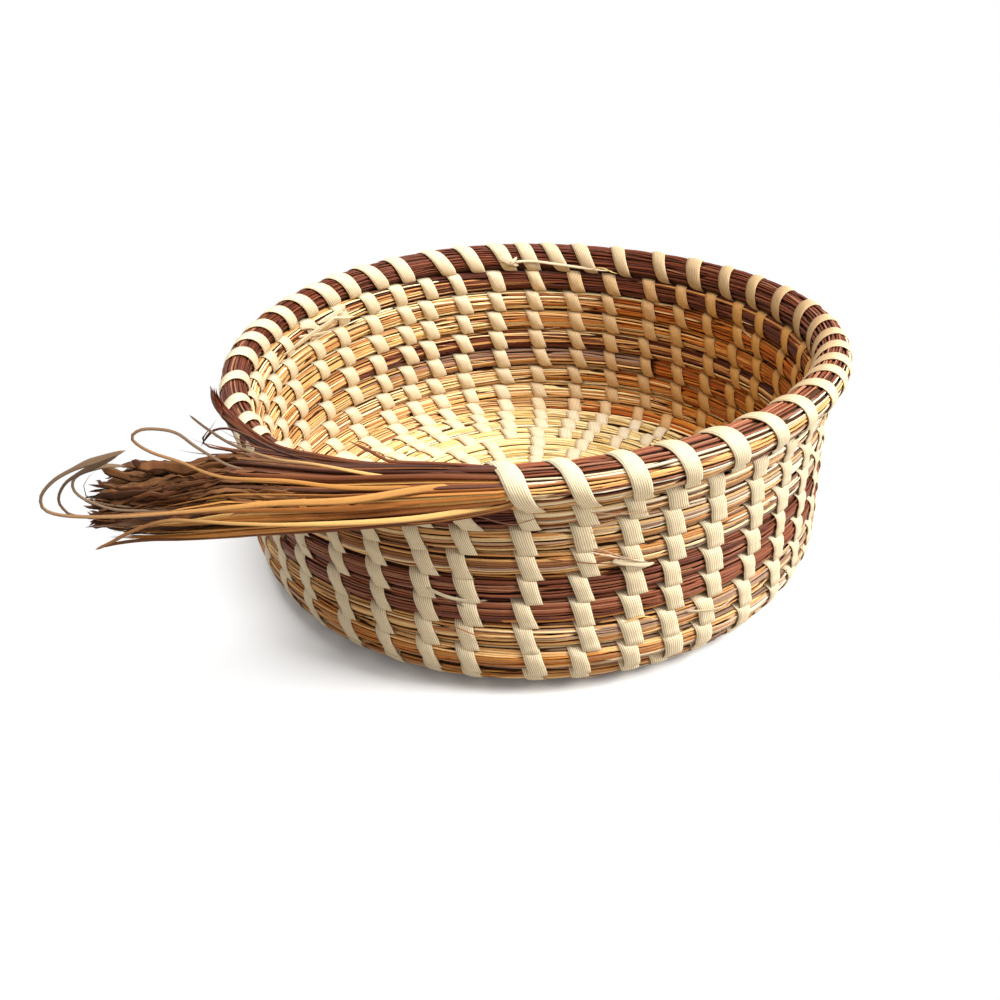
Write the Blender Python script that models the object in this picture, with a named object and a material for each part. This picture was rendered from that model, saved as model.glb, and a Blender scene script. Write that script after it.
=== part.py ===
"""Coiled sweetgrass basket whose last bundle end is left unworked.

Metres, +Z up. The origin is the centre of the underside and z = 0 is the plane that the
basket stands on. One bundle of grass starts at a knot in the middle of the base, spirals
out to the corner and climbs the side, clockwise as seen from above. It ends at the front
(-Y) of the rim, and from there its loose grass and needles fan out towards -X.

A place on the coil is given in turns, counted back from the last stitch.
"""
import math
import random

import bmesh
import bpy
from mathutils import Vector

# The coil
RIM_RADIUS = 0.0900           # basket's axis to the middle of the bundle at its last stitch
RIM_BUNDLE_RADIUS = 0.0049    # bundle at the last stitch
BUNDLE_RADIUS = 0.00335       # bundle from one turn back to the start
COURSE_GAP = 0.0008           # between neighbouring turns
LIP_RUN = 0.0170              # down the profile, from the rim to where the flare ends
SIDE_RUN = 0.0355             # from there to the corner
CORNER_RADIUS = 0.0123        # of the bundle's middle where the side turns into the base
RIM_FLARE = math.radians(28)      # profile's slope from the vertical at the rim
SIDE_FLARE = math.radians(2.5)    # the same below the flare
SIDE_TUCK = math.radians(0.5)     # the same just above the corner
OVAL = 0.0022                 # by which the rim is out of round
SADDLE = 0.0019               # by which the rim waves up and down
WARP_AZIMUTH = math.radians(-45)  # where the rim is widest and highest
POINTS_PER_LOOP = 24
COIL_SIDES = 6
FLAT_SHARE = 0.1              # share of the bundle's diameter cut flat underneath
NODE_GAP = 0.0003             # between the faces of two pieces that follow each other

# The start of the coil
KNOT_RADIUS = 0.0045
START_BUNDLE_RADIUS = 0.0012  # bundle where it leaves the knot, one turn before it is full
KNOT_FLATNESS_SHARE = 0.95    # of the bundle's radius, for half the knot's height
KNOT_SEGMENTS = 20

# Where the bundle's material changes, as shares of the turns from the rim to the base
BAND_START_SHARE = 0.412
BAND_END_SHARE = 0.575

# The strip that binds the last turn
STRIP_WIDTH = 0.0042
STRIP_THICKNESS = 0.00035
STRIP_CLEARANCE = 0.00068     # off the bundle's corners
STITCHES_PER_TURN = 42
STRIP_END_MARGIN = 0.0045     # along the coil, from the strip's middle to the turn's ends

# The unworked end
TAIL_LENGTH = 0.107
TAIL_RADIUS = 0.0044          # of the circle that the strands leave
TAIL_SLICE = 0.0030           # stub of bundle that holds them
SPLIT_GAP = 0.0004            # between the dark and the golden stub
SPLIT_OFFSET = 0.0004         # of the split from the bundle's middle, towards the dark side
SPLIT_TILT = math.radians(135)    # the dark side's direction from outward, over the top
STRAND_PITCH_SHARE = 0.225    # of the tail's radius, between strands in a row
STRAND_RADIUS = 0.00036       # half the thickness of a strand where it leaves the stub
STRAND_MIDDLE_SHARE = 1.50    # its thickness at the middle of its length, against the root
STRAND_TIP_SHARE = 0.35       # the same at its tip
STRAND_POINTS = 8
STRAND_STEPS = 40             # small steps along which a strand's heading is summed
SHORTEST_SHARE = 0.70         # of the tail's length
LENGTH_SEED = 11              # of the strands' uneven lengths
HUG_RADIUS = 0.0925           # of the path of the strands that follow the rim
HUG_POWER = 1.5               # how fast the strands straighten from the inner to the outer
HUG_CALM_SHARE = 0.60         # by which the strands that follow the rim spread and rise less
FAN_SPREAD_SHARE = 2.8        # growth of the fan's height over its length
FAN_LIFT_SHARE = 0.85         # rise of the fan's middle, in tail radii
FAN_POWER = 1.4
SETTLE_RUN = 0.018            # over which the strands turn from the coil's end to their course

# Single blades that leave the fan: the place on the stub that each one leaves, as outward
# and upward shares of the tail's radius, then its points after it has left the fan, as
# forward, outward and upward shares of the tail's length, and its thickness.
BLADE_ROOT_GAP = 0.0004       # from the stub's face
BLADE_RADIUS = 0.00042
BLADE_TIP_SHARE = 0.3
BLADE_SHARES = {
    "outer_hook_blade": ((0.99, -0.10), (
        (0.22, 0.090, 0.022), (0.47, 0.118, 0.050), (0.66, 0.118, 0.038), (0.80, 0.118, 0.040),
        (0.92, 0.118, 0.050), (0.985, 0.118, 0.068), (1.000, 0.118, 0.095), (0.985, 0.118, 0.130),
        (0.950, 0.118, 0.167), (0.900, 0.118, 0.200), (0.850, 0.118, 0.225))),
    "middle_hook_blade": ((0.97, 0.22), (
        (0.24, 0.080, 0.034), (0.47, 0.104, 0.052), (0.68, 0.104, 0.036), (0.83, 0.104, 0.036),
        (0.91, 0.104, 0.047), (0.950, 0.104, 0.068), (0.955, 0.104, 0.100), (0.940, 0.104, 0.130),
        (0.905, 0.104, 0.155), (0.860, 0.104, 0.180), (0.800, 0.104, 0.215))),
    "inner_hook_blade": ((0.92, -0.42), (
        (0.25, 0.072, -0.010), (0.48, 0.090, 0.015), (0.65, 0.090, 0.014), (0.78, 0.090, 0.024),
        (0.87, 0.090, 0.044), (0.915, 0.090, 0.075), (0.915, 0.090, 0.110), (0.885, 0.090, 0.140),
        (0.840, 0.090, 0.160))),
    "loop_blade": ((0.82, 0.55), (
        (0.24, 0.062, 0.048), (0.41, 0.077, 0.078), (0.54, 0.077, 0.094), (0.64, 0.077, 0.110),
        (0.70, 0.077, 0.136), (0.755, 0.077, 0.170), (0.795, 0.077, 0.200), (0.800, 0.077, 0.218),
        (0.780, 0.077, 0.228), (0.735, 0.077, 0.226), (0.670, 0.077, 0.190), (0.625, 0.077, 0.150))),
    "lower_blade": ((0.72, -0.68), (
        (0.25, 0.066, -0.034), (0.49, 0.070, -0.045), (0.62, 0.070, -0.026), (0.70, 0.070, -0.010),
        (0.79, 0.070, -0.018), (0.85, 0.070, -0.036), (0.91, 0.070, -0.056), (0.945, 0.070, -0.068))),
    "drooping_blade": ((0.45, -0.88), (
        (0.27, 0.052, -0.052), (0.50, 0.052, -0.082), (0.64, 0.052, -0.092), (0.78, 0.052, -0.094),
        (0.88, 0.052, -0.090), (0.97, 0.052, -0.084))),
    "crossing_blade": ((0.34, 0.93), (
        (0.27, 0.038, 0.076), (0.41, 0.038, 0.100), (0.56, 0.038, 0.145), (0.63, 0.038, 0.180),
        (0.675, 0.038, 0.215), (0.705, 0.038, 0.245))),
    "kinked_needle": ((-0.12, 0.99), (
        (0.10, -0.006, 0.060), (0.19, -0.006, 0.076), (0.29, -0.006, 0.088), (0.315, -0.008, 0.098),
        (0.375, -0.016, 0.134))),
    "rim_needle": ((-0.55, 0.82), (
        (0.15, -0.022, 0.054), (0.28, -0.032, 0.065), (0.42, -0.080, 0.072), (0.55, -0.165, 0.073),
        (0.65, -0.262, 0.075), (0.72, -0.360, 0.088), (0.76, -0.440, 0.104))),
}


def new_material(name, colour, roughness):
    """Material with one Principled colour, for a dry plant fibre."""
    material = bpy.data.materials.new(name)
    material.use_nodes = True
    shader = material.node_tree.nodes["Principled BSDF"]
    shader.inputs["Base Color"].default_value = (*colour, 1)
    shader.inputs["Roughness"].default_value = roughness
    shader.inputs["Metallic"].default_value = 0
    material.diffuse_color = (*colour, 1)
    return material


def new_collection(name):
    """Collection in the scene."""
    collection = bpy.data.collections.new(name)
    bpy.context.scene.collection.children.link(collection)
    return collection


def add_mesh_object(name, bm, collection, material=None):
    """Object from a bmesh, with its normals outward and its round sides smooth."""
    bmesh.ops.recalc_face_normals(bm, faces=bm.faces)
    mesh = bpy.data.meshes.new(name)
    bm.to_mesh(mesh)
    bm.free()
    if material:
        mesh.materials.append(material)
    mesh.shade_smooth()
    mesh.set_sharp_from_angle(angle=math.radians(65))
    piece = bpy.data.objects.new(name, mesh)
    collection.objects.link(piece)
    return piece


def add_tube(name, routes, radius, resolution, collection, material):
    """Curve object with one tube along each route of places, swells and tilts."""
    curve = bpy.data.curves.new(name, "CURVE")
    curve.dimensions = "3D"
    curve.twist_mode = "Z_UP"
    curve.bevel_depth = radius
    curve.bevel_resolution = resolution
    curve.use_fill_caps = True
    curve.materials.append(material)
    for route in routes:
        spline = curve.splines.new("POLY")
        spline.points.add(len(route) - 1)
        for point, (place, swell, tilt) in zip(spline.points, route):
            point.co = (*place, 1)
            point.radius = swell
            point.tilt = tilt
    tube = bpy.data.objects.new(name, curve)
    collection.objects.link(tube)
    return tube


def as_mesh(curve_object, collection):
    """The same object as a closed mesh, so that it can be cut or joined."""
    graph = bpy.context.evaluated_depsgraph_get()
    evaluated = curve_object.evaluated_get(graph)
    mesh = bpy.data.meshes.new_from_object(evaluated)
    bm = bmesh.new()
    bm.from_mesh(mesh)
    merge_distance = STRAND_RADIUS * STRAND_TIP_SHARE / STRAND_POINTS
    bmesh.ops.remove_doubles(bm, verts=bm.verts, dist=merge_distance)
    bmesh.ops.recalc_face_normals(bm, faces=bm.faces)
    bm.to_mesh(mesh)
    bm.free()
    mesh.shade_smooth()
    mesh.set_sharp_from_angle(angle=math.radians(65))
    name = curve_object.name
    matrix = curve_object.matrix_world.copy()
    bpy.data.objects.remove(curve_object)
    piece = bpy.data.objects.new(name, mesh)
    piece.matrix_world = matrix
    collection.objects.link(piece)
    return piece


def add_boolean(piece, other, operation):
    """Boolean modifier on the piece, with the other object as a hidden guide."""
    other.hide_render = True
    other.display_type = "WIRE"
    modifier = piece.modifiers.new(other.name, "BOOLEAN")
    modifier.operation = operation
    modifier.solver = "EXACT"
    modifier.object = other


def bundle_radius(turn):
    """Radius of the bundle, which grows over its first turn and again over its last."""
    rim_swell = (RIM_BUNDLE_RADIUS - BUNDLE_RADIUS) * max(0, 1 - turn)
    start_taper = (BUNDLE_RADIUS - START_BUNDLE_RADIUS) * max(0, turn - start_turn() + 1)
    return BUNDLE_RADIUS + rim_swell - start_taper


def run_at(turn):
    """Length down the basket's profile to the bundle's middle."""
    pitch = 2 * BUNDLE_RADIUS + COURSE_GAP
    rim_swell = (RIM_BUNDLE_RADIUS - BUNDLE_RADIUS) * min(turn, 1)
    start_taper = (BUNDLE_RADIUS - START_BUNDLE_RADIUS) * max(0, turn - start_turn() + 1)
    return pitch * turn + rim_swell - start_taper


def turn_at(run):
    """Turn at a length down the profile, between the first turn and the last."""
    pitch = 2 * BUNDLE_RADIUS + COURSE_GAP
    return (run - (RIM_BUNDLE_RADIUS - BUNDLE_RADIUS)) / pitch


def profile_arcs():
    """Length of each arc down the profile, with its first and last slope from the vertical."""
    corner_length = CORNER_RADIUS * (math.pi / 2 - SIDE_TUCK)
    return (
        (LIP_RUN, RIM_FLARE, SIDE_FLARE),
        (SIDE_RUN, SIDE_FLARE, SIDE_TUCK),
        (corner_length, SIDE_TUCK, math.pi / 2),
    )


def corner_run():
    """Length down the profile to where the base lies flat."""
    return sum(length for length, _, _ in profile_arcs())


def slope_at(run):
    """Slope of the profile from the vertical, a right angle once the base is flat."""
    for length, first, last in profile_arcs():
        if run < length:
            return first + (last - first) * run / length
        run -= length
    return math.pi / 2


def profile_at(run):
    """Distance from the axis and drop below the rim, down the arcs to the flat base."""
    radius, drop = RIM_RADIUS, 0
    for length, first, last in profile_arcs():
        covered = min(run, length)
        slope = first + (last - first) * covered / length
        arc_radius = length / (last - first)
        radius -= arc_radius * (math.cos(first) - math.cos(slope))
        drop += arc_radius * (math.sin(slope) - math.sin(first))
        run -= covered
    return radius - run, drop


def start_turn():
    """Turn at which the bundle leaves the knot in the middle of the base."""
    flat_radius, _ = profile_at(corner_run())
    start_radius = KNOT_RADIUS + COURSE_GAP + START_BUNDLE_RADIUS
    start_taper = BUNDLE_RADIUS - START_BUNDLE_RADIUS
    return turn_at(corner_run() + flat_radius - start_radius + start_taper)


def coil_corner(turn):
    """Middle of the bundle at one corner of the coil's path."""
    run = run_at(turn)
    radius, drop = profile_at(run)
    azimuth = -math.pi / 2 + 2 * math.pi * turn
    wave = math.cos(2 * (azimuth - WARP_AZIMUTH))
    radius *= 1 + OVAL / RIM_RADIUS * wave
    _, height = profile_at(corner_run())
    base_middle = BUNDLE_RADIUS * (1 - 2 * FLAT_SHARE)
    upright_share = max(0, 1 - run / (LIP_RUN + SIDE_RUN))
    z = base_middle + height - drop + SADDLE * wave * upright_share
    return Vector((radius * math.cos(azimuth), radius * math.sin(azimuth), z))


def coil_point(turn):
    """Middle of the bundle, on the straight runs between the path's corners."""
    step = math.floor(turn * POINTS_PER_LOOP)
    share = turn * POINTS_PER_LOOP - step
    first = coil_corner(step / POINTS_PER_LOOP)
    return first.lerp(coil_corner((step + 1) / POINTS_PER_LOOP), share)


def surface_corner(step, angle, distance):
    """Point around the bundle at a corner of its path, the angle from outward over the top."""
    turn = step / POINTS_PER_LOOP
    before = coil_corner(turn + 1 / POINTS_PER_LOOP)
    after = coil_corner(turn - 1 / POINTS_PER_LOOP)
    along = (after - before).normalized()
    outward = Vector((0, 0, 1)).cross(along).normalized()
    up = along.cross(outward)
    reach = bundle_radius(turn) + distance
    return coil_corner(turn) + reach * (math.cos(angle) * outward + math.sin(angle) * up)


def surface_point(turn, angle, distance):
    """Point around the bundle anywhere on its path."""
    step = math.floor(turn * POINTS_PER_LOOP)
    share = turn * POINTS_PER_LOOP - step
    first = surface_corner(step, angle, distance)
    return first.lerp(surface_corner(step + 1, angle, distance), share)


def coil_length(turn):
    """Length of one turn of the coil there."""
    radius, _ = profile_at(run_at(turn))
    return 2 * math.pi * radius


def course_tilt(turn):
    """Tilt that turns a corner of the bundle's sides to the turns above and below."""
    return slope_at(run_at(turn)) - math.pi / 2


def coil_route(first_turn, last_turn, side_below):
    """Stretch of the coil, half a gap in from each end, with a side below where it asks."""
    half_gap = NODE_GAP / 2
    first = first_turn + half_gap / coil_length(first_turn)
    last = last_turn - half_gap / coil_length(last_turn)
    inner = range(math.floor(first * POINTS_PER_LOOP) + 1, math.ceil(last * POINTS_PER_LOOP))
    turns = [first, *(step / POINTS_PER_LOOP for step in inner), last]
    extra = math.pi / COIL_SIDES if side_below else 0
    return [
        (coil_point(turn), bundle_radius(turn) / BUNDLE_RADIUS, course_tilt(turn) + extra)
        for turn in turns
    ]


def between_corners(turn):
    """The middle of the straight run of the coil's path that a turn falls on."""
    return (math.floor(turn * POINTS_PER_LOOP) + 1 / 2) / POINTS_PER_LOOP


def coil_stretches():
    """Names and turns of the coil's stretches, from the rim down to the knot."""
    corner_turn = turn_at(corner_run())
    rim_start = between_corners(1)
    band_start = between_corners(BAND_START_SHARE * corner_turn)
    band_end = between_corners(BAND_END_SHARE * corner_turn)
    base_end = between_corners(corner_turn)
    return {
        "rim_coil": (0, rim_start),
        "upper_wall_coil": (rim_start, band_start),
        "band_coil": (band_start, band_end),
        "lower_wall_coil": (band_end, base_end),
        "base_coil": (base_end, start_turn()),
    }


def build_coil(collection, cutters, materials):
    """The bundle's stretches, each one unbroken tube, the lowest cut flat underneath."""
    floor = add_floor_cutter(cutters)
    for name, (first, last) in coil_stretches().items():
        route = coil_route(first, last, name == "rim_coil")
        piece = add_tube(name, [route], BUNDLE_RADIUS, 1, collection, materials[name])
        if name in ("lower_wall_coil", "base_coil"):
            piece = as_mesh(piece, collection)
            add_boolean(piece, floor, "DIFFERENCE")
    return floor


def add_floor_cutter(cutters):
    """Block whose top is the plane that the basket stands on."""
    overrun = RIM_BUNDLE_RADIUS
    reach = RIM_RADIUS + overrun
    bm = bmesh.new()
    bmesh.ops.create_cube(bm, size=1)
    bmesh.ops.scale(bm, vec=(2 * reach, 2 * reach, overrun), verts=bm.verts)
    bmesh.ops.translate(bm, vec=(0, 0, -overrun / 2), verts=bm.verts)
    return add_mesh_object("floor_cutter", bm, cutters)


def build_start_knot(floor, collection, material):
    """Flattened knot in the middle of the base, cut flat underneath like the coil round it."""
    bm = bmesh.new()
    bmesh.ops.create_uvsphere(bm, u_segments=KNOT_SEGMENTS, v_segments=KNOT_SEGMENTS // 2, radius=1)
    half_height = BUNDLE_RADIUS * KNOT_FLATNESS_SHARE
    bmesh.ops.scale(bm, vec=(KNOT_RADIUS, KNOT_RADIUS, half_height), verts=bm.verts)
    bmesh.ops.translate(bm, vec=(0, 0, BUNDLE_RADIUS * (1 - 2 * FLAT_SHARE)), verts=bm.verts)
    knot = add_mesh_object("start_knot", bm, collection, material)
    add_boolean(knot, floor, "DIFFERENCE")


def build_rim_strip(collection, material):
    """Flat strip wound round the last turn, up its outside, over the top and down inside."""
    margin = STRIP_END_MARGIN / coil_length(0)
    wraps = math.floor(STITCHES_PER_TURN * (1 - 2 * margin))
    half_width = STRIP_WIDTH / 2 / coil_length(0)
    bm = bmesh.new()
    last = None
    for index in range(wraps * COIL_SIDES + 1):
        turned = index / COIL_SIDES
        middle = 1 - margin - turned / STITCHES_PER_TURN
        angle = 2 * math.pi * (turned - 1 / 3) - slope_at(run_at(middle))
        corners = (
            (middle + half_width, STRIP_CLEARANCE),
            (middle - half_width, STRIP_CLEARANCE),
            (middle - half_width, STRIP_CLEARANCE + STRIP_THICKNESS),
            (middle + half_width, STRIP_CLEARANCE + STRIP_THICKNESS),
        )
        ring = [bm.verts.new(surface_point(turn, angle, distance)) for turn, distance in corners]
        if last is None:
            bm.faces.new(ring)
        else:
            for side in range(len(ring)):
                following = (side + 1) % len(ring)
                bm.faces.new((last[side], last[following], ring[following], ring[side]))
        last = ring
    bm.faces.new(last)
    return add_mesh_object("rim_binding_strip", bm, collection, material)


def tail_axes():
    """Middle of the coil's end face and its forward, outward and upward directions."""
    end = coil_point(0)
    forward = (end - coil_corner(1 / POINTS_PER_LOOP)).normalized()
    outward = Vector((0, 0, 1)).cross(forward).normalized()
    return end, forward, outward, forward.cross(outward)


def eased(share):
    """Smooth rise from 0 to 1."""
    share = min(max(share, 0), 1)
    return share * share * (3 - 2 * share)


def hug(outward):
    """Share of the rim's curve that a strand keeps, from the inner to the outer side."""
    return ((1 - outward) / 2) ** HUG_POWER


def fan_point(outward, upward, run):
    """Place of a strand that leaves the stub at these shares of its radius."""
    end, forward, side, _ = tail_axes()
    first_heading = math.atan2(forward.y, -forward.x)
    place = Vector((end.x, end.y, end.z)) + outward * TAIL_RADIUS * side
    step = run / STRAND_STEPS
    for index in range(STRAND_STEPS):
        middle = (index + 1 / 2) * step
        curl = hug(outward) * max(0, middle - SETTLE_RUN / 2) / HUG_RADIUS
        heading = first_heading * (1 - eased(middle / SETTLE_RUN)) + curl
        place += step * Vector((-math.cos(heading), math.sin(heading), 0))
    share = (1 - HUG_CALM_SHARE * hug(outward)) * (max(run, 0) / TAIL_LENGTH) ** FAN_POWER
    place.z += TAIL_RADIUS * (upward * (1 + FAN_SPREAD_SHARE * share) + FAN_LIFT_SHARE * share)
    return place


def strand_sites():
    """Places on the stub that strands leave, in rows, as shares of the tail's radius."""
    row_pitch = STRAND_PITCH_SHARE * math.sqrt(3) / 2
    rows = math.floor(1 / row_pitch)
    sites = []
    for row in range(-rows, rows + 1):
        upward = row * row_pitch
        shift = STRAND_PITCH_SHARE / 2 * (row % 2)
        columns = math.ceil(1 / STRAND_PITCH_SHARE)
        for column in range(-columns, columns + 1):
            outward = column * STRAND_PITCH_SHARE + shift
            if math.hypot(outward, upward) <= 1:
                sites.append((outward, upward))
    return sites


def blade_sites(sites):
    """The strand site nearest to each single blade's root."""
    chosen = {}
    for name, (root, _) in BLADE_SHARES.items():
        free = [site for site in sites if site not in chosen.values()]
        chosen[name] = min(free, key=lambda site: math.dist(site, root))
    return chosen


def is_dark(outward, upward):
    """Whether a place on the stub lies on its dark side."""
    across = outward * math.cos(SPLIT_TILT) + upward * math.sin(SPLIT_TILT)
    return across * TAIL_RADIUS > SPLIT_OFFSET


def clears_split(outward, upward):
    """Whether a strand there keeps to its own stub."""
    across = outward * math.cos(SPLIT_TILT) + upward * math.sin(SPLIT_TILT)
    return abs(across * TAIL_RADIUS - SPLIT_OFFSET) > STRAND_RADIUS + SPLIT_GAP / 2


def strand_lengths(sites):
    """Length of each site's strand, uneven from one to the next."""
    draw = random.Random(LENGTH_SEED)
    spread = 1 - SHORTEST_SHARE
    return {site: TAIL_LENGTH * (1 - spread * draw.random() ** 2) for site in sites}


def build_stub(name, dark, collection, material):
    """Half of the bundle's stub, cut along the split."""
    end, forward, outward, up = tail_axes()
    bm = bmesh.new()
    bmesh.ops.create_cone(
        bm, cap_ends=True, segments=KNOT_SEGMENTS,
        radius1=RIM_BUNDLE_RADIUS, radius2=RIM_BUNDLE_RADIUS, depth=TAIL_SLICE,
    )
    across = Vector((math.cos(SPLIT_TILT), math.sin(SPLIT_TILT), 0))
    side = 1 if dark else -1
    bmesh.ops.bisect_plane(
        bm, geom=[*bm.verts, *bm.edges, *bm.faces], plane_no=-side * across, clear_outer=True,
        plane_co=across * (SPLIT_OFFSET + side * SPLIT_GAP / 2),
    )
    bmesh.ops.holes_fill(bm, edges=[edge for edge in bm.edges if edge.is_boundary])
    middle = end + forward * (NODE_GAP / 2 + TAIL_SLICE / 2)
    for vert in bm.verts:
        vert.co = middle + outward * vert.co.x + up * vert.co.y + forward * vert.co.z
    return add_mesh_object(name, bm, collection, material)


def build_tail(collection, cutters, materials):
    """Dark needles and golden grass, each strand fused to its half of the stub."""
    sites = strand_sites()
    lengths = strand_lengths(sites)
    taken = set(blade_sites(sites).values())
    for name, dark in (("tail_needles", True), ("tail_grass", False)):
        stub = build_stub(name, dark, collection, materials[name])
        own = [s for s in sites if s not in taken and clears_split(*s) and is_dark(*s) == dark]
        routes = [strand_route(*site, lengths[site]) for site in own]
        strands = add_tube(name + "_strands", routes, STRAND_RADIUS, 0, cutters, materials[name])
        add_boolean(stub, as_mesh(strands, cutters), "UNION")


def strand_route(outward, upward, length):
    """A strand from the middle of its stub to its tip."""
    root = NODE_GAP / 2 + TAIL_SLICE / 2
    shares = [index / (STRAND_POINTS - 1) for index in range(STRAND_POINTS)]
    return [
        (fan_point(outward, upward, root + share * (length - root)), strand_swell(share), 0)
        for share in shares
    ]


def strand_swell(share):
    """Thickness of a strand against its root's, swelling and then narrowing to the tip."""
    if share < 1 / 2:
        return 1 + (STRAND_MIDDLE_SHARE - 1) * 2 * share
    thinning = STRAND_MIDDLE_SHARE - STRAND_TIP_SHARE
    return STRAND_MIDDLE_SHARE - thinning * (2 * share - 1) ** 2


def build_blades(collection, materials):
    """Single blades that leave the fan, hooked, looped, kinked or crossing it."""
    end, _, _, _ = tail_axes()
    for name, site in blade_sites(strand_sites()).items():
        _, shares = BLADE_SHARES[name]
        root = NODE_GAP / 2 + TAIL_SLICE + BLADE_ROOT_GAP
        places = [fan_point(*site, root), fan_point(*site, 2 * root)]
        for forward, outward, upward in shares:
            places.append(end + TAIL_LENGTH * Vector((-forward, -outward, upward)))
        last = len(places) - 1
        route = [
            (place, 1 + (BLADE_TIP_SHARE - 1) * max(0, 2 * index / last - 1), 0)
            for index, place in enumerate(places)
        ]
        add_tube(name, [route], BLADE_RADIUS, 0, collection, materials[name])


def least_coil_gap():
    """Least gap of the coil to itself, from its points at least half a turn apart."""
    count = math.floor(start_turn() * POINTS_PER_LOOP)
    turns = [step / POINTS_PER_LOOP for step in range(count + 1)]
    points = [coil_corner(turn) for turn in turns]
    least = math.inf
    for index, point in enumerate(points):
        for other in range(index + POINTS_PER_LOOP // 2, count + 1):
            reach = bundle_radius(turns[index]) + bundle_radius(turns[other])
            least = min(least, (point - points[other]).length - reach)
    return least


def basket_materials():
    """The material of each piece."""
    grass = new_material("sweetgrass", (0.50, 0.27, 0.09), 0.55)
    needles = new_material("pine_needles", (0.13, 0.035, 0.018), 0.45)
    strip = new_material("palmetto_strip", (0.78, 0.66, 0.42), 0.60)
    dark = ("band_coil", "rim_coil", "tail_needles", "kinked_needle", "rim_needle")
    names = (*coil_stretches(), "start_knot", "tail_needles", "tail_grass", *BLADE_SHARES)
    materials = {name: needles if name in dark else grass for name in names}
    materials["rim_binding_strip"] = strip
    return materials


def main():
    """Clears the scene and builds the basket."""
    for old in list(bpy.data.objects):
        bpy.data.objects.remove(old)
    basket = new_collection("coiled_sweetgrass_basket")
    cutters = new_collection("cutters")
    materials = basket_materials()
    floor = build_coil(basket, cutters, materials)
    build_start_knot(floor, basket, materials["start_knot"])
    build_rim_strip(basket, materials["rim_binding_strip"])
    build_tail(basket, cutters, materials)
    build_blades(basket, materials)
    print(f"coil: {start_turn():.2f} turns, least gap to itself {1000 * least_coil_gap():.2f} mm")


if __name__ == "__main__":
    main()
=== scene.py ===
"""Looks of the coiled sweetgrass basket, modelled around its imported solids.

Metres, +Z up, in the frame's own axes: the basket stands on z = 0, its mouth opens upwards,
the worked coil ends at the front (-Y) of the rim and its loose tail points to -X.

A place along the bundle is given in turns, counted back from the last stitch. A place around
the bundle is an angle from the basket's outside (0), over the top, to its inside (half a turn).
"""
import logging
import math
from dataclasses import dataclass
from enum import Enum

import bmesh
import bpy
import numpy as np
from mathutils import Matrix, Vector


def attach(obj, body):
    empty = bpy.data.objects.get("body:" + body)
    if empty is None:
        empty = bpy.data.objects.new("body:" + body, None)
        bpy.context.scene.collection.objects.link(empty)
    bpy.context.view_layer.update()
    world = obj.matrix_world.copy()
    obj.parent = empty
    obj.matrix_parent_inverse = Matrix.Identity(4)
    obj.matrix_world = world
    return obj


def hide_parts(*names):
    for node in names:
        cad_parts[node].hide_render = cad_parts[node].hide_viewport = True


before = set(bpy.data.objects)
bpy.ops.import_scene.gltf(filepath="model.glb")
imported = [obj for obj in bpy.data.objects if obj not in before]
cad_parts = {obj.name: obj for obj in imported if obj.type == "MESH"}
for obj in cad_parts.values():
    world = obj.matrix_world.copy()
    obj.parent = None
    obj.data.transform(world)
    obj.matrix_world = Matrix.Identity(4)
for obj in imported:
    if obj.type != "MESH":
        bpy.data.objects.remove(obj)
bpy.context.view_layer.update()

LOG = logging.getLogger("basket")
MM = 0.001
TAU = 2 * math.pi


def linear(red: int, green: int, blue: int) -> tuple[float, float, float]:
    """Turns a colour as seen on a screen, 0 to 255, into the renderer's linear one."""
    shares = (channel / 255 for channel in (red, green, blue))
    return tuple(s / 12.92 if s < 0.04045 else ((s + 0.055) / 1.055) ** 2.4 for s in shares)


# Colours of the dry fibres


class Fibre(Enum):
    """Kinds of fibre in the basket, each with the colours that its stems come in."""

    GOLDEN = (
        (208, 152, 90), (192, 132, 74), (226, 180, 120), (162, 106, 62), (216, 164, 102),
        (238, 204, 150),
    )
    ORANGE = ((200, 126, 50), (182, 106, 40), (216, 152, 78), (150, 88, 38))
    SILVER = (
        (234, 216, 184), (216, 196, 162), (198, 172, 140), (152, 120, 94), (242, 228, 200),
        (124, 92, 74),
    )
    CREAM = ((240, 216, 158), (228, 194, 128), (214, 172, 100), (246, 230, 186))
    # The last, lightest mahogany tone stands in for the needles' glints: painted highlight
    MAHOGANY = ((120, 62, 36), (96, 46, 26), (138, 76, 46), (106, 52, 30), (160, 106, 76))
    RUSSET = ((100, 46, 22), (84, 36, 18), (114, 54, 28), (92, 42, 22))
    MAUVE = ((158, 122, 98), (138, 100, 78), (178, 142, 112))
    PAPER = ((106, 66, 34), (84, 48, 24), (128, 86, 50), (66, 37, 17), (96, 58, 28))
    # Amber stems of the inner right wall: painted shade, for the warm shadow that falls there
    SHADED_AMBER = ((190, 102, 20), (168, 82, 14), (202, 124, 38), (142, 68, 16))
    BROOM = ((186, 122, 56), (166, 102, 44), (200, 142, 76), (142, 84, 38))
    STRAW = ((196, 144, 78), (178, 122, 58), (210, 164, 98))
    CHESTNUT = ((88, 48, 30), (112, 62, 34), (66, 34, 22), (134, 78, 42))
    ASH = ((118, 94, 72), (98, 76, 58), (136, 112, 88))

    def pick(self, draw: np.random.Generator) -> tuple[float, float, float]:
        """Draws one of the kind's colours, a little lighter or darker.

        Args:
            draw: Random numbers.

        Returns:
            Its linear red, green and blue.
        """
        red, green, blue = linear(*self.value[draw.integers(len(self.value))])
        light = draw.uniform(0.85, 1.15)
        return red * light, green * light, blue * light


# Shader helper


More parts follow.
